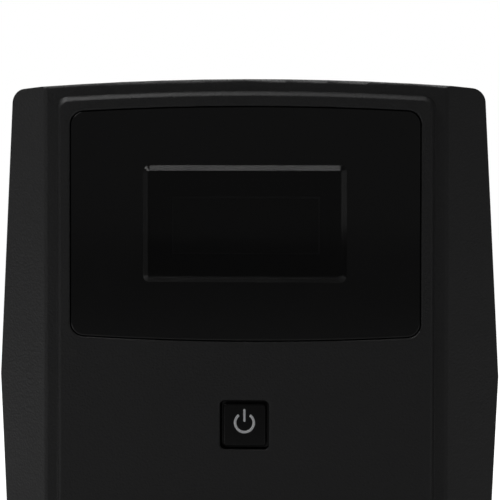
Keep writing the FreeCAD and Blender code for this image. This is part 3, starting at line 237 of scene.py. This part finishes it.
def dust_film():
    """Mask of light dust, which lies in patches and specks and mostly on upward faces."""
    group, t, given, end = new_effect("dust film", [("Amount", "value", 0.3)], [("Mask", "value")])
    normal = t.use("ShaderNodeNewGeometry", {}, out=1)
    up = t.use("ShaderNodeSeparateXYZ", {0: normal}, out=2)
    where = t.use("ShaderNodeTexCoord", {}, out=3)
    patches = t.span(t.noise(where, 34.0, 5.0, 0.6), 0.35, 0.75)
    specks = t.span(t.noise(where, 900.0, 2.0, 0.5), 0.62, 0.8)
    lying = t.span(up, 0.2, 1.0, 0.12, 1.0)
    mask = t.math("MULTIPLY", t.math("ADD", t.math("MULTIPLY", patches, 0.5), specks), lying)
    t.put(end.inputs["Mask"], t.math("MULTIPLY", mask, given["Amount"], clamp=True))
    return group


def hairlines():
    """Fine scratches that lie every way, as on handled gloss plastic and rolled metal."""
    group, t, given, end = new_effect("hairlines", [("Scale", "value", 220.0), ("Stretch", "value", 30.0)],
                                      [("Mask", "value"), ("Height", "value")])
    where = t.use("ShaderNodeTexCoord", {}, out=3)
    total = None
    for turn in (0.35, 1.5, 2.6):
        turned = t.use("ShaderNodeMapping", {"Vector": where, "Rotation": (0.0, turn, turn * 0.7)})
        wide = t.use("ShaderNodeCombineXYZ", {0: given["Stretch"], 1: 1.0, 2: 1.0})
        long = t.use("ShaderNodeVectorMath", {0: turned, 1: wide}, operation="MULTIPLY")
        line = t.span(t.noise(long, given["Scale"], 1.0, 0.4), 0.66, 0.72)
        total = line if total is None else t.math("ADD", total, line, clamp=True)
    t.put(end.inputs["Mask"], total)
    t.put(end.inputs["Height"], t.math("MULTIPLY", total, -1.0))
    return group


EFFECTS = {}


def effects():
    """The shared effects, built once."""
    if not EFFECTS:
        for make in (spark_grain, edge_wear, dust_film, hairlines):
            EFFECTS[make.__name__] = make()
    return EFFECTS


def new_finish(name, look):
    """A material with one shader; look holds the shader's plain values."""
    material = bpy.data.materials.new(name)
    material.use_nodes = True
    material.node_tree.nodes.clear()
    t = Tree(material.node_tree)
    shader = t.add("ShaderNodeBsdfPrincipled")
    end = t.add("ShaderNodeOutputMaterial")
    t.tree.links.new(shader.outputs[0], end.inputs[0])
    for socket, value in look.items():
        t.put(shader.inputs[socket], value)
    return material, t, shader


def moulded(name, base, rough=0.5, grain=0.00045, depth=0.25, wear=0.5, dust=0.15, polish=0.2,
            bright=1.6):
    """Textured moulded plastic: spark grain, edges shiny from the mould and rubbed, a little dust; a painted
    highlight lightens the colour all along every edge.
    """
    fx = effects()
    material, t, shader = new_finish(name, {"IOR": 1.5})
    spark = t.effect(fx["spark_grain"], {"Size": grain})
    edge_fx = t.effect(fx["edge_wear"], {"Amount": wear})
    film = t.effect(fx["dust_film"], {"Amount": dust})
    shade = t.use("ShaderNodeVectorMath", {0: base, "Scale": spark["Tone"]}, operation="SCALE")
    # painted highlight: the colour is lightened by bright all along every edge, where lamps would glint on
    # the rounded edges; the next line lightens only the rubbed patches, which is wear
    edges = t.mix(edge_fx["Edge"], shade, tuple(c * bright for c in base))
    edges = t.mix(edge_fx["Mask"], edges, tuple(min(1.0, c * bright + 0.002) for c in base))
    t.put(shader.inputs["Base Color"], t.mix(film["Mask"], edges, (0.16, 0.155, 0.15)))
    gloss = t.math("ADD", spark["Gloss"], rough)
    gloss = t.math("SUBTRACT", gloss, t.math("MULTIPLY", edge_fx["Edge"], polish))
    t.put(shader.inputs["Roughness"], t.math("ADD", gloss, t.math("MULTIPLY", film["Mask"], 0.3), clamp=True))
    bump = t.use("ShaderNodeBump", {"Height": spark["Height"], "Distance": 0.00013, "Strength": depth,
                                    "Normal": edge_fx["Normal"]})
    t.put(shader.inputs["Normal"], bump)
    return material


def gloss(name, base, rough=0.06, wear=0.3, ripple=0.08, alpha=1.0, ior=1.5, crisp=False):
    """Polished plastic with faint hairlines and a little dust; crisp leaves the mesh's edges sharp."""
    fx = effects()
    material, t, shader = new_finish(name, {"IOR": ior, "Alpha": alpha})
    lines = t.effect(fx["hairlines"], {"Scale": 120.0, "Stretch": 26.0})
    film = t.effect(fx["dust_film"], {"Amount": 0.04})
    edge_fx = t.effect(fx["edge_wear"], {"Amount": wear, "Reach": 0.0003})
    t.put(shader.inputs["Base Color"], t.mix(film["Mask"], base, (0.12, 0.118, 0.115)))
    where = t.use("ShaderNodeTexCoord", {}, out=3)
    smear = t.span(t.noise(where, 26.0, 4.0, 0.6), 0.35, 0.7, 0.0, 0.05)
    coarse = t.math("ADD", t.math("MULTIPLY", lines["Mask"], 0.02), smear)
    coarse = t.math("ADD", coarse, t.math("MULTIPLY", edge_fx["Mask"], 0.1))
    coarse = t.math("ADD", coarse, t.math("MULTIPLY", film["Mask"], 0.4))
    t.put(shader.inputs["Roughness"], t.math("ADD", coarse, rough, clamp=True))
    bump = t.use("ShaderNodeBump", {"Height": t.noise(where, 55.0, 2.0), "Distance": 0.00001,
                                    "Strength": ripple})
    if not crisp:
        t.put(bump.node.inputs["Normal"], edge_fx["Normal"])
    t.put(shader.inputs["Normal"], bump)
    return material


def metal(name, base, rough=0.3, stretch=18.0, stain=0.25, bright=1.25):
    """Rolled or plated metal with drawn lines, dulled patches and bright edges."""
    fx = effects()
    material, t, shader = new_finish(name, {"Metallic": 1.0})
    lines = t.effect(fx["hairlines"], {"Scale": 260.0, "Stretch": stretch})
    edge_fx = t.effect(fx["edge_wear"], {"Amount": 0.7, "Reach": 0.0004})
    where = t.use("ShaderNodeTexCoord", {}, out=3)
    patches = t.span(t.noise(where, 60.0, 5.0, 0.65), 0.35, 0.7)
    dull = tuple(c * (1 - stain) for c in base)
    body = t.mix(patches, base, dull)
    t.put(shader.inputs["Base Color"], t.mix(edge_fx["Mask"], body, tuple(min(1.0, c * bright) for c in base)))
    coarse = t.math("ADD", t.math("MULTIPLY", patches, 0.14), t.math("MULTIPLY", lines["Mask"], 0.12))
    t.put(shader.inputs["Roughness"], t.math("ADD", coarse, rough, clamp=True))
    bump = t.use("ShaderNodeBump", {"Height": lines["Height"], "Distance": 0.00002, "Strength": 0.2,
                                    "Normal": edge_fx["Normal"]})
    t.put(shader.inputs["Normal"], bump)
    return material


def banded(name, base, other, axis, pitch, rough=0.35, metallic=0.0, depth=0.6):
    """Thin bands across one axis: windings or the edges of laminations."""
    fx = effects()
    material, t, shader = new_finish(name, {"Metallic": metallic})
    where = t.use("ShaderNodeTexCoord", {}, out=3)
    along = t.use("ShaderNodeSeparateXYZ", {0: where}, out="XYZ".index(axis))
    saw = t.math("FRACT", t.math("DIVIDE", along, pitch))
    round_top = t.math("SINE", t.math("MULTIPLY", saw, math.pi))
    edge_fx = t.effect(fx["edge_wear"], {"Amount": 0.4, "Reach": 0.0004})
    patches = t.span(t.noise(where, 45.0, 4.0, 0.6), 0.35, 0.7)
    band = t.span(round_top, 0.25, 0.75)
    tone = t.mix(band, other, base)
    t.put(shader.inputs["Base Color"], t.mix(t.math("MULTIPLY", patches, 0.25), tone, other))
    t.put(shader.inputs["Roughness"], t.span(patches, 0.0, 1.0, rough, rough + 0.15))
    bump = t.use("ShaderNodeBump", {"Height": round_top, "Distance": pitch * 0.3, "Strength": depth,
                                    "Normal": edge_fx["Normal"]})
    t.put(shader.inputs["Normal"], bump)
    return material


def solder_mask(name, base):
    """Circuit board: solder mask over copper traces, with bare pads."""
    fx = effects()
    material, t, shader = new_finish(name, {})
    where = t.use("ShaderNodeTexCoord", {}, out=3)
    cells = t.use("ShaderNodeTexVoronoi", {"Vector": where, "Scale": 160.0, "Randomness": 0.35},
                  distance="CHEBYCHEV")
    trace = t.use("ShaderNodeTexBrick", {"Vector": where, "Scale": 90.0, "Mortar Size": 0.06,
                                         "Color1": (0, 0, 0), "Color2": (0, 0, 0), "Mortar": (1, 1, 1)})
    pad = t.span(cells, 0.22, 0.2)
    lines = t.span(t.noise(where, 120.0, 1.0), 0.5, 0.52)
    light = tuple(min(1.0, c * 2.2 + 0.01) for c in base)
    track = t.mix(t.math("MULTIPLY", t.use("ShaderNodeRGBToBW", {0: trace}), lines), base, light)
    t.put(shader.inputs["Base Color"], t.mix(pad, track, (0.5, 0.42, 0.28)))
    t.put(shader.inputs["Roughness"], t.span(pad, 0.0, 1.0, 0.32, 0.22))
    t.put(shader.inputs["Metallic"], pad)
    bump = t.use("ShaderNodeBump", {"Height": t.math("ADD", pad, lines), "Distance": 0.00003, "Strength": 0.4,
                                    "Normal": t.effect(fx["edge_wear"], {})["Normal"]})
    t.put(shader.inputs["Normal"], bump)
    return material


def rubbered(name, base):
    """Matt rubber with scuffs and dust."""
    fx = effects()
    material, t, shader = new_finish(name, {"Specular IOR Level": 0.3})
    where = t.use("ShaderNodeTexCoord", {}, out=3)
    scuffs = t.span(t.noise(where, 240.0, 5.0, 0.7), 0.4, 0.7)
    film = t.effect(fx["dust_film"], {"Amount": 0.5})
    tone = t.mix(scuffs, base, tuple(c * 2.2 for c in base))
    t.put(shader.inputs["Base Color"], t.mix(film["Mask"], tone, (0.2, 0.19, 0.18)))
    t.put(shader.inputs["Roughness"], t.span(scuffs, 0.0, 1.0, 0.62, 0.85))
    bump = t.use("ShaderNodeBump", {"Height": scuffs, "Distance": 0.00004, "Strength": 0.4})
    t.put(shader.inputs["Normal"], bump)
    return material


def label_foil(name, base):
    """Blank label foil: a thin printed border line on satin silver."""
    fx = effects()
    material, t, shader = new_finish(name, {"Metallic": 0.6})
    lines = t.effect(fx["hairlines"], {"Scale": 180.0, "Stretch": 12.0})
    film = t.effect(fx["dust_film"], {"Amount": 0.3})
    where = t.use("ShaderNodeTexCoord", {}, out=0)
    split = t.add("ShaderNodeSeparateXYZ")
    t.put(split.inputs[0], where)
    edge = None
    for axis in (0, 1):
        off = t.math("ABSOLUTE", t.math("SUBTRACT", split.outputs[axis], 0.5))
        line = t.math("COMPARE", off, 0.46)
        line.node.inputs[2].default_value = 0.006 if axis else 0.0035
        edge = line if edge is None else t.math("MAXIMUM", edge, line)
    grey = t.mix(film["Mask"], base, (0.3, 0.29, 0.28))
    t.put(shader.inputs["Base Color"], t.mix(edge, grey, (0.02, 0.02, 0.02)))
    t.put(shader.inputs["Roughness"], t.math("ADD", t.math("MULTIPLY", lines["Mask"], 0.1), 0.38))
    bump = t.use("ShaderNodeBump", {"Height": lines["Height"], "Distance": 0.00001, "Strength": 0.2})
    t.put(shader.inputs["Normal"], bump)
    return material


# ---- piece helpers --------------------------------------------------------------------------
def piece(name, mesh, body, finish):
    """An object of the assembly that rides on a CAD body."""
    thing = bpy.data.objects.new(name, mesh)
    bpy.context.scene.collection.objects.link(thing)
    mesh.materials.clear()
    mesh.materials.append(finish)
    soften(thing, 35.0)
    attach(thing, body)


def soften(thing, degrees):
    """Smooth shading that keeps creases sharper than the given angle."""
    mesh = thing.data
    mesh.polygons.foreach_set("use_smooth", [True] * len(mesh.polygons))
    mesh.set_sharp_from_angle(angle=math.radians(degrees))


def coat(node, finish, smooth=30.0):
    """Gives a CAD node its finish and smooth shading."""
    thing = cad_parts[node]
    thing.data.materials.clear()
    thing.data.materials.append(finish)
    soften(thing, smooth)


def stamp(target, source, matrix):
    """Adds a copy of one bmesh to another."""
    made = {}
    for vert in source.verts:
        made[vert] = target.verts.new(matrix @ vert.co)
    for face in source.faces:
        target.faces.new([made[v] for v in face.verts])


def finished(shape, name):
    """A mesh out of a bmesh, with its faces turned outwards."""
    mesh = bpy.data.meshes.new(name)
    bmesh.ops.recalc_face_normals(shape, faces=shape.faces)
    shape.to_mesh(mesh)
    shape.free()
    return mesh


# ---- operators ------------------------------------------------------------------------------
class FINISH_OT_case(bpy.types.Operator):
    """Puts the moulded and gloss finishes on the case"""

    bl_idname = "power_supply.case_finish"
    bl_label = "Case finish"

    def execute(self, context):
        look = context.scene.case_finish
        shell = moulded("moulded case", look.shell, grain=look.grain, depth=1.0, polish=0.34)
        for node in ("front_bezel", "top_cover", "base_tray", "rear_panel"):
            coat(node, shell)
        coat("display_plate", gloss("gloss display plate", look.gloss))
        coat("display_lens", gloss("smoked lens", look.lens, rough=0.03, wear=0.0, ripple=0.01, alpha=0.65,
                                   crisp=True), smooth=20.0)
        coat("power_button", gloss("button cap", look.button, ior=1.34))
        coat("power_symbol", moulded("standby mark paint", look.mark, grain=0.0002, depth=0.1, wear=0.0,
                                     dust=0.0))
        coat("rubber_feet", rubbered("rubber feet", (0.012, 0.012, 0.012)))
        return {"FINISHED"}


class FINISH_OT_rear(bpy.types.Operator):
    """Puts the finishes on the sockets, fan and screws of the rear panel"""

    bl_idname = "power_supply.rear_finish"
    bl_label = "Rear fittings' finish"

    def execute(self, context):
        socket = moulded("socket plastic", (0.013, 0.013, 0.014), rough=0.38, grain=0.0003, depth=0.15)
        for node in ("round_outlet_left", "round_outlet_right", "appliance_outlet_left",
                     "appliance_outlet_right", "mains_inlet", "breaker_body"):
            coat(node, socket)
        coat("network_ports", moulded("port plastic", (0.02, 0.02, 0.022), rough=0.45, grain=0.0003,
                                      depth=0.15))
        coat("data_port", metal("port shell", (0.62, 0.62, 0.63), rough=0.25))
        coat("breaker_button", moulded("breaker button", (0.02, 0.02, 0.021), rough=0.4, grain=0.0002,
                                       depth=0.1))
        plated = metal("plated contacts", (0.7, 0.69, 0.67), rough=0.18, stretch=6.0)
        for node in ("earth_clips", "mains_inlet_pins", "breaker_nut"):
            coat(node, plated)
        fan = moulded("fan plastic", (0.01, 0.01, 0.011), rough=0.35, grain=0.0003, depth=0.1)
        coat("fan_frame", fan)
        coat("fan_rotor", fan)
        coat("fan_stator", banded("fan winding", (0.55, 0.2, 0.07), (0.25, 0.08, 0.03), "Y", 0.0004,
                                  metallic=1.0))
        dark = metal("blackened screws", (0.06, 0.06, 0.062), rough=0.35, stretch=4.0, bright=4.0)
        for node in ("rear_panel_screws", "fan_screws"):
            coat(node, dark)
        coat("case_screws", metal("zinc screws", (0.6, 0.61, 0.63), rough=0.3, stretch=4.0))
        return {"FINISHED"}


class FINISH_OT_inside(bpy.types.Operator):
    """Puts the finishes on everything behind the case"""

    bl_idname = "power_supply.inside_finish"
    bl_label = "Inner parts' finish"

    def execute(self, context):
        look = context.scene.inside_finish
        board = solder_mask("circuit board", look.board)
        for node in ("display_board", "main_board"):
            coat(node, board)
        dark = moulded("black nylon", (0.007, 0.007, 0.0075), rough=0.4, grain=0.0003, depth=0.1)
        for node in ("lcd_holder", "alarm_buzzer", "switch_body", "power_transistors"):
            coat(node, dark)
        pale = moulded("natural nylon", (0.62, 0.6, 0.55), rough=0.45, grain=0.0004, depth=0.1, bright=1.1)
        for node in ("switch_plunger", "transformer_bobbin"):
            coat(node, pale)
        battery = moulded("battery case", look.battery, rough=0.55, grain=0.0006, depth=0.3)
        for node in ("battery_case_left", "battery_case_right", "battery_lid_left", "battery_lid_right"):
            coat(node, battery)
        coat("lcd_glass", gloss("lcd glass", (0.1, 0.105, 0.1), rough=0.05))
        coat("battery_plates", metal("lead plates", (0.2, 0.2, 0.22), rough=0.55, stain=0.45))
        coat("battery_terminals", metal("tinned tabs", (0.66, 0.62, 0.5), rough=0.28))
        zinc = metal("zinc plate", (0.6, 0.61, 0.62), rough=0.32)
        for node in ("battery_bracket", "floor_screws", "transformer_frame", "board_screws"):
            coat(node, zinc)
        coat("board_standoffs", metal("brass pillars", (0.75, 0.55, 0.25), rough=0.25))
        coat("button_spring", metal("spring wire", (0.6, 0.6, 0.6), rough=0.2))
        coat("heatsinks", metal("extruded aluminium", (0.76, 0.77, 0.78), rough=0.35, stretch=40.0))
        coat("transformer_core", banded("laminations", (0.2, 0.2, 0.21), (0.09, 0.085, 0.085), "Y", 0.0005,
                                        rough=0.45, metallic=1.0, depth=0.3))
        coat("transformer_windings", banded("enamelled copper", look.copper, (0.2, 0.06, 0.025), "Z", 0.0009,
                                            rough=0.25, metallic=1.0))
        coat("choke_winding", banded("choke wire", look.copper, (0.2, 0.06, 0.025), "Z", 0.0011,
                                     rough=0.25, metallic=1.0, depth=0.2))
        coat("choke_core", moulded("ferrite", (0.045, 0.05, 0.045), rough=0.6, grain=0.0004, depth=0.2))
        coat("capacitors", gloss("capacitor sleeve", (0.012, 0.02, 0.06), rough=0.2))
        coat("relays", moulded("relay case", (0.02, 0.06, 0.2), rough=0.35, grain=0.0003, depth=0.1))
        coat("blade_fuses", gloss("fuse body", (0.03, 0.3, 0.06), rough=0.15))
        for node, base in (("battery_leads_red", (0.42, 0.015, 0.012)), ("battery_leads_black", (0.015,) * 3),
                           ("display_cable", (0.3, 0.3, 0.31)), ("mains_leads", (0.13, 0.055, 0.025))):
            coat(node, moulded(node.replace("_", " ") + " sleeve", base, rough=0.4, grain=0.0008, depth=0.15))
        return {"FINISHED"}


def join_rings(shape, rows, closed=False):
    """Joins rings of four corners with faces; a closed run meets its own start, an open one is capped."""
    for near, far in zip(rows, rows[1:] + (rows[:1] if closed else [])):
        for i in range(4):
            shape.faces.new((near[i], near[(i + 1) % 4], far[(i + 1) % 4], far[i]))
    if not closed:
        shape.faces.new(rows[0])
        shape.faces.new(rows[-1])
    return shape


def strip(points, half_width, across, thickness):
    """A bent flat strip along a route of points that lie in one plane."""
    shape = bmesh.new()
    across = Vector(across) * half_width
    rows = []
    for i, point in enumerate(points):
        before, after = points[max(i - 1, 0)], points[min(i + 1, len(points) - 1)]
        out = (Vector(after) - Vector(before)).cross(across).normalized() * thickness / 2
        centre = Vector(point)
        rows.append([shape.verts.new(centre + a + b) for a, b in ((across, out), (-across, out),
                                                                  (-across, -out), (across, -out))])
    return join_rings(shape, rows)


def tube(outer, inner, y0, y1, sides=40):
    """A tube along the depth, with a slit that lets it spring."""
    shape = bmesh.new()
    rows = []
    for i in range(sides):
        turn = math.radians(6) + math.radians(348) * i / (sides - 1)
        rows.append([shape.verts.new((r * math.cos(turn), y, r * math.sin(turn)))
                     for r, y in ((outer, y0), (outer, y1), (inner, y1), (inner, y0))])
    return join_rings(shape, rows)


def sheet_plate(width, height, corner, thickness, steps=8):
    """A thin plate with rounded corners, flat in X and Y, that hangs below z = 0 at the origin."""
    shape = bmesh.new()
    rim = []
    for k, (sx, sy) in enumerate(((1, 1), (-1, 1), (-1, -1), (1, -1))):
        for i in range(steps + 1):
            turn = math.radians(90) * (k + i / steps)
            rim.append((sx * (width / 2 - corner) + corner * math.cos(turn),
                        sy * (height / 2 - corner) + corner * math.sin(turn)))
    face = shape.faces.new([shape.verts.new((x, y, 0)) for x, y in rim])
    made = bmesh.ops.extrude_face_region(shape, geom=[face])["geom"]
    moved = [part for part in made if isinstance(part, bmesh.types.BMVert)]
    bmesh.ops.translate(shape, vec=(0, 0, -thickness), verts=moved)
    return shape


def round_plate(radius, hole, thickness, sides=64):
    """A thin disc with a hole, facing along the depth."""
    shape = bmesh.new()
    rows = []
    for i in range(sides):
        turn = math.tau * i / sides
        rows.append([shape.verts.new((r * math.cos(turn), y, r * math.sin(turn)))
                     for r, y in ((radius, 0), (radius, thickness), (hole, thickness), (hole, 0))])
    return join_rings(shape, rows, closed=True)


def many(parts):
    """One bmesh out of several (bmesh, place) pairs."""
    whole = bmesh.new()
    for part, place in parts:
        stamp(whole, part, Matrix.Translation(place))
        part.free()
    return whole


def middle_of(node):
    """The middle of a CAD node's box."""
    low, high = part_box(node)
    return (low + high) / 2


class FITTINGS_OT_contacts(bpy.types.Operator):
    """Makes the spring contacts inside the sockets and ports"""

    bl_idname = "power_supply.contacts"
    bl_label = "Contacts"

    def execute(self, context):
        tinned = metal("tinned spring contacts", (0.78, 0.75, 0.68), rough=0.16, stretch=5.0)
        gold = metal("gold flash", (0.95, 0.66, 0.28), rough=0.16, stretch=5.0, stain=0.1)
        piece("network_contacts", finished(self.network(), "network contacts"), "case", gold)
        piece("data_port_contacts", finished(self.data(), "data port contacts"), "case", gold)
        piece("outlet_sleeves", finished(self.sleeves(), "outlet sleeves"), "case", tinned)
        piece("coupler_springs", finished(self.springs(), "coupler springs"), "case", tinned)
        return {"FINISHED"}

    def network(self):
        """Eight wires in each well, that come from its top edge and slope back into it."""
        middle, mouth = middle_of("network_ports"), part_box("network_ports")[1].y
        top = middle.z + 4.1 * MM
        parts = []
        for well in (-WELLS_APART / 2, WELLS_APART / 2):
            for i in range(8):
                x = middle.x + (well + (i - 3.5) * CONTACT_PITCH) * MM
                route = [(x, mouth - depth * MM, top - drop * MM)
                         for depth, drop in ((13.7, 0), (3.2, 0), (2.6, 0.5), (3.4, 1.2), (11.5, 4.4))]
                parts.append((strip(route, 0.22 * MM, (1, 0, 0), 0.25 * MM), (0, 0, 0)))
        return many(parts)

    def data(self):
        """Two flat contacts above and two below the tongue."""
        middle, mouth = middle_of("data_port"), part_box("data_port")[1].y
        parts = []
        for x in (-1.25, 1.25):
            for side in (-1, 1):
                route = [(middle.x + x * MM, mouth - depth * MM, middle.z + side * 1.66 * MM)
                         for depth in (12, 6, 2.2)]
                parts.append((strip(route, 0.55 * MM, (1, 0, 0), 0.14 * MM), (0, 0, 0)))
        return many(parts)

    def sleeves(self):
        """A slit sleeve in each pin hole of the round outlets."""
        parts = []
        for node in ("round_outlet_left", "round_outlet_right"):
            middle, mouth = middle_of(node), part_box(node)[1].y
            for x in (-PIN_HOLES_APART / 2, PIN_HOLES_APART / 2):
                parts.append((tube(2.52 * MM, 2.15 * MM, mouth - 22.2 * MM, mouth - 18.1 * MM),
                              (middle.x + x * MM, 0, middle.z)))
        return many(parts)

    def springs(self):
        """A pair of leaves in each slot of the appliance outlets, bowed towards each other."""
        bowed = ((14.6, 1.0), (11.0, 0.95), (8.5, 0.45), (6.5, 0.4), (4.0, 0.95))
        parts = []
        for node in ("appliance_outlet_left", "appliance_outlet_right"):
            middle, mouth = middle_of(node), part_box(node)[1].y
            for dx, dz in COUPLER_SLOTS:
                for side in (-1, 1):
                    route = [(middle.x + (dx + side * bow) * MM, mouth - depth * MM, middle.z + dz * MM)
                             for depth, bow in bowed]
                    parts.append((strip(route, 1.7 * MM, (0, 0, 1), 0.25 * MM), (0, 0, 0)))
        return many(parts)


class FITTINGS_OT_labels(bpy.types.Operator):
    """Makes the blank rating plate under the case, the fan's blank label and the frame round the LCD"""

    bl_idname = "power_supply.labels"
    bl_label = "Labels and LCD frame"

    def execute(self, context):
        foil = label_foil("label foil", (0.5, 0.5, 0.5))
        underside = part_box("base_tray")[0].z
        plate = finished(sheet_plate(**RATING_PLATE), "rating plate")
        plate.transform(Matrix.Translation((0, RATING_PLATE_Y, underside)))
        piece("rating_plate", plate, "case", foil)

        hub = middle_of("fan_frame")
        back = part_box("fan_frame")[1].y
        disc = finished(round_plate(**FAN_LABEL), "fan label")
        disc.transform(Matrix.Translation((hub.x, back, hub.z)))
        piece("fan_label", disc, "case", foil)
        self.lcd_frame()
        return {"FINISHED"}

    def lcd_frame(self):
        """The LCD's own thin metal frame, in the window of the holder."""
        middle = middle_of("lcd_glass")
        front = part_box("lcd_glass")[0].y - LCD_FRAME_STANDS_OFF
        back = front + LCD_FRAME_DEPTH
        shape = bmesh.new()
        rows = []
        for x, z in ((-1, -1), (1, -1), (1, 1), (-1, 1)):
            rows.append([shape.verts.new((middle.x + x * (LCD_FRAME_HALF_W - inset), y,
                                          middle.z + z * (LCD_FRAME_HALF_H - inset)))
                         for inset, y in ((0, front), (0, back), (LCD_FRAME_RIM * 2, back),
                                          (LCD_FRAME_RIM, front))])
        join_rings(shape, rows, closed=True)
        piece("lcd_frame", finished(shape, "lcd frame"), "case",
              metal("lcd frame steel", (0.5, 0.5, 0.5), rough=0.4))


class FITTINGS_OT_spring(bpy.types.Operator):
    """Makes the button's return spring, a copy of the CAD coil that rides on the case in its place"""

    bl_idname = "power_supply.return_spring"
    bl_label = "Return spring"

    def execute(self, context):
        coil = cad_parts["button_spring"]
        spring = bpy.data.objects.new("return_spring", coil.data.copy())
        context.scene.collection.objects.link(spring)
        spring.matrix_world = coil.matrix_world
        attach(spring, "case")
        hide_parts("button_spring")
        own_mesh(spring)
        return {"FINISHED"}


class STUDIO_OT_stage(bpy.types.Operator):
    """Builds the floor, the lamps, the surroundings and the camera"""

    bl_idname = "power_supply.stage"
    bl_label = "Studio"

    def execute(self, context):
        light = context.scene.studio_light
        self.floor()
        self.surroundings(context.scene, light.room)
        # turn to the left and rise in degrees, reach and size in metres, power in watts
        lamps = (("overhead lamp", 0, 89, 1.2, 0.5, light.top),
                 ("left lamp", 60, 45, 0.55, 0.25, light.left),
                 ("top left lamp", 90, 66, 1.2, 0.35, light.edge),
                 ("rear top lamp", 180, 62, 1.2, 0.3, light.edge * 0.8),
                 ("high left lamp", 96, 45, 1.2, 0.3, light.side),
                 ("high right lamp", -92, 45, 1.2, 0.22, light.side * 0.3),
                 ("back lamp", 180, 30, 1.2, 0.5, light.back))
        for name, turn, rise, reach, size, watts in lamps:
            turn, rise = math.radians(turn), math.radians(rise)
            way = Vector((-math.sin(turn) * math.cos(rise), -math.cos(turn) * math.cos(rise), math.sin(rise)))
            self.lamp(name, LAMP_AIM + way * reach, LAMP_AIM, (size, size), watts)
        self.lamp("right lamp", (1.15, -0.33, 0.35), (0, -0.33, 0.35), (0.3, 0.5), light.right)
        self.lamp("left upright lamp", (-1.15, -0.25, 0.15), (0, -0.25, 0.15), (0.45, 0.45),
                  light.right * 0.5)
        self.lamp("left bounce", (-0.35, -0.25, 0.003), (-0.35, -0.25, 1), (0.3, 0.8), light.bounce_left)
        self.lamp("right bounce", (0.35, -0.25, 0.003), (0.35, -0.25, 1), (0.3, 0.8), light.bounce_right)
        self.camera(context.scene)
        return {"FINISHED"}

    def floor(self):
        """White paper. What the camera sees of it is lifted to the paper's own white."""
        shape = bmesh.new()
        bmesh.ops.create_grid(shape, x_segments=2, y_segments=2, size=6.0)
        mesh = finished(shape, "floor")
        floor = bpy.data.objects.new("floor", mesh)
        bpy.context.scene.collection.objects.link(floor)
        material, t, shader = new_finish("floor paper", {"Specular IOR Level": 0.1,
                                                         "Emission Strength": 0.95})
        where = t.use("ShaderNodeTexCoord", {}, out=3)
        tone = t.span(t.noise(where, 9.0, 4.0), 0.3, 0.7)
        t.put(shader.inputs["Base Color"], t.mix(tone, (0.6, 0.6, 0.6), (0.62, 0.62, 0.62)))
        t.put(shader.inputs["Roughness"], t.span(tone, 0.0, 1.0, 0.6, 0.7))
        seen = t.use("ShaderNodeLightPath", {}, out=0)
        t.put(shader.inputs["Emission Color"], t.mix(seen, (0, 0, 0), (1, 1, 1)))
        mesh.materials.append(material)

    def surroundings(self, scene, room):
        """An even grey room, which the camera sees as white."""
        world = bpy.data.worlds.new("studio")
        scene.world = world
        world.use_nodes = True
        t = Tree(world.node_tree)
        t.tree.nodes.clear()
        seen = t.use("ShaderNodeLightPath", {}, out=0)
        sky = t.add("ShaderNodeBackground")
        t.put(sky.inputs["Color"], t.mix(seen, (room, room, room), (1.0, 1.0, 1.0)))
        end = t.add("ShaderNodeOutputWorld")
        t.tree.links.new(sky.outputs[0], end.inputs[0])
        scene.view_settings.view_transform = "Standard"
        scene.view_settings.look = "None"

    def lamp(self, name, place, aim, size, watts):
        """A flat lamp that the camera doesn't see."""
        light = bpy.data.lights.new(name, "AREA")
        light.shape = "RECTANGLE"
        light.size, light.size_y = size
        light.energy = watts
        lamp = bpy.data.objects.new(name, light)
        bpy.context.scene.collection.objects.link(lamp)
        lamp.location = place
        lamp.rotation_euler = (Vector(aim) - Vector(place)).to_track_quat("-Z", "Y").to_euler()
        lamp.visible_camera = False

    def camera(self, scene):
        """A long lens in front, to the right and a little above the middle of the display."""
        data = bpy.data.cameras.new("camera")
        data.sensor_width = CAMERA_SENSOR
        data.lens = CAMERA_LENS
        data.clip_start, data.clip_end = 0.05, 60.0
        camera = bpy.data.objects.new("camera", data)
        scene.collection.objects.link(camera)
        camera.location = CAMERA_PLACE
        camera.rotation_mode = "XYZ"
        aim = Euler((math.radians(90) + CAMERA_TILT, 0.0, CAMERA_TURN)).to_matrix()
        camera.rotation_euler = (aim @ Matrix.Rotation(CAMERA_ROLL, 3, "Z")).to_euler()
        scene.camera = camera


class POWER_PT_panel(bpy.types.Panel):
    """Lists the steps of the build"""

    bl_idname = "POWER_PT_panel"
    bl_label = "Power supply"
    bl_space_type = "VIEW_3D"
    bl_region_type = "UI"
    bl_category = "Power supply"

    def draw(self, context):
        scene = context.scene
        for group in (scene.case_finish, scene.inside_finish, scene.studio_light):
            box = self.layout.box()
            for name in group.__annotations__:
                box.prop(group, name)
        for step in STEPS:
            self.layout.operator(step.bl_idname)


STEPS = (FINISH_OT_case, FINISH_OT_rear, FINISH_OT_inside, FITTINGS_OT_contacts, FITTINGS_OT_labels,
         FITTINGS_OT_spring, STUDIO_OT_stage)
GROUPS = {"case_finish": CaseFinish, "inside_finish": InsideFinish, "studio_light": StudioLight}


def register():
    for group in GROUPS.values():
        bpy.utils.register_class(group)
    for name, group in GROUPS.items():
        setattr(bpy.types.Scene, name, PointerProperty(type=group))
    for step in (*STEPS, POWER_PT_panel):
        bpy.utils.register_class(step)


def unregister():
    for step in (POWER_PT_panel, *reversed(STEPS)):
        bpy.utils.unregister_class(step)
    for name, group in GROUPS.items():
        delattr(bpy.types.Scene, name)
        bpy.utils.unregister_class(group)


def main():
    register()
    for step in STEPS:
        area, name = step.bl_idname.split(".")
        getattr(getattr(bpy.ops, area), name)()


if __name__ == "__main__":
    main()
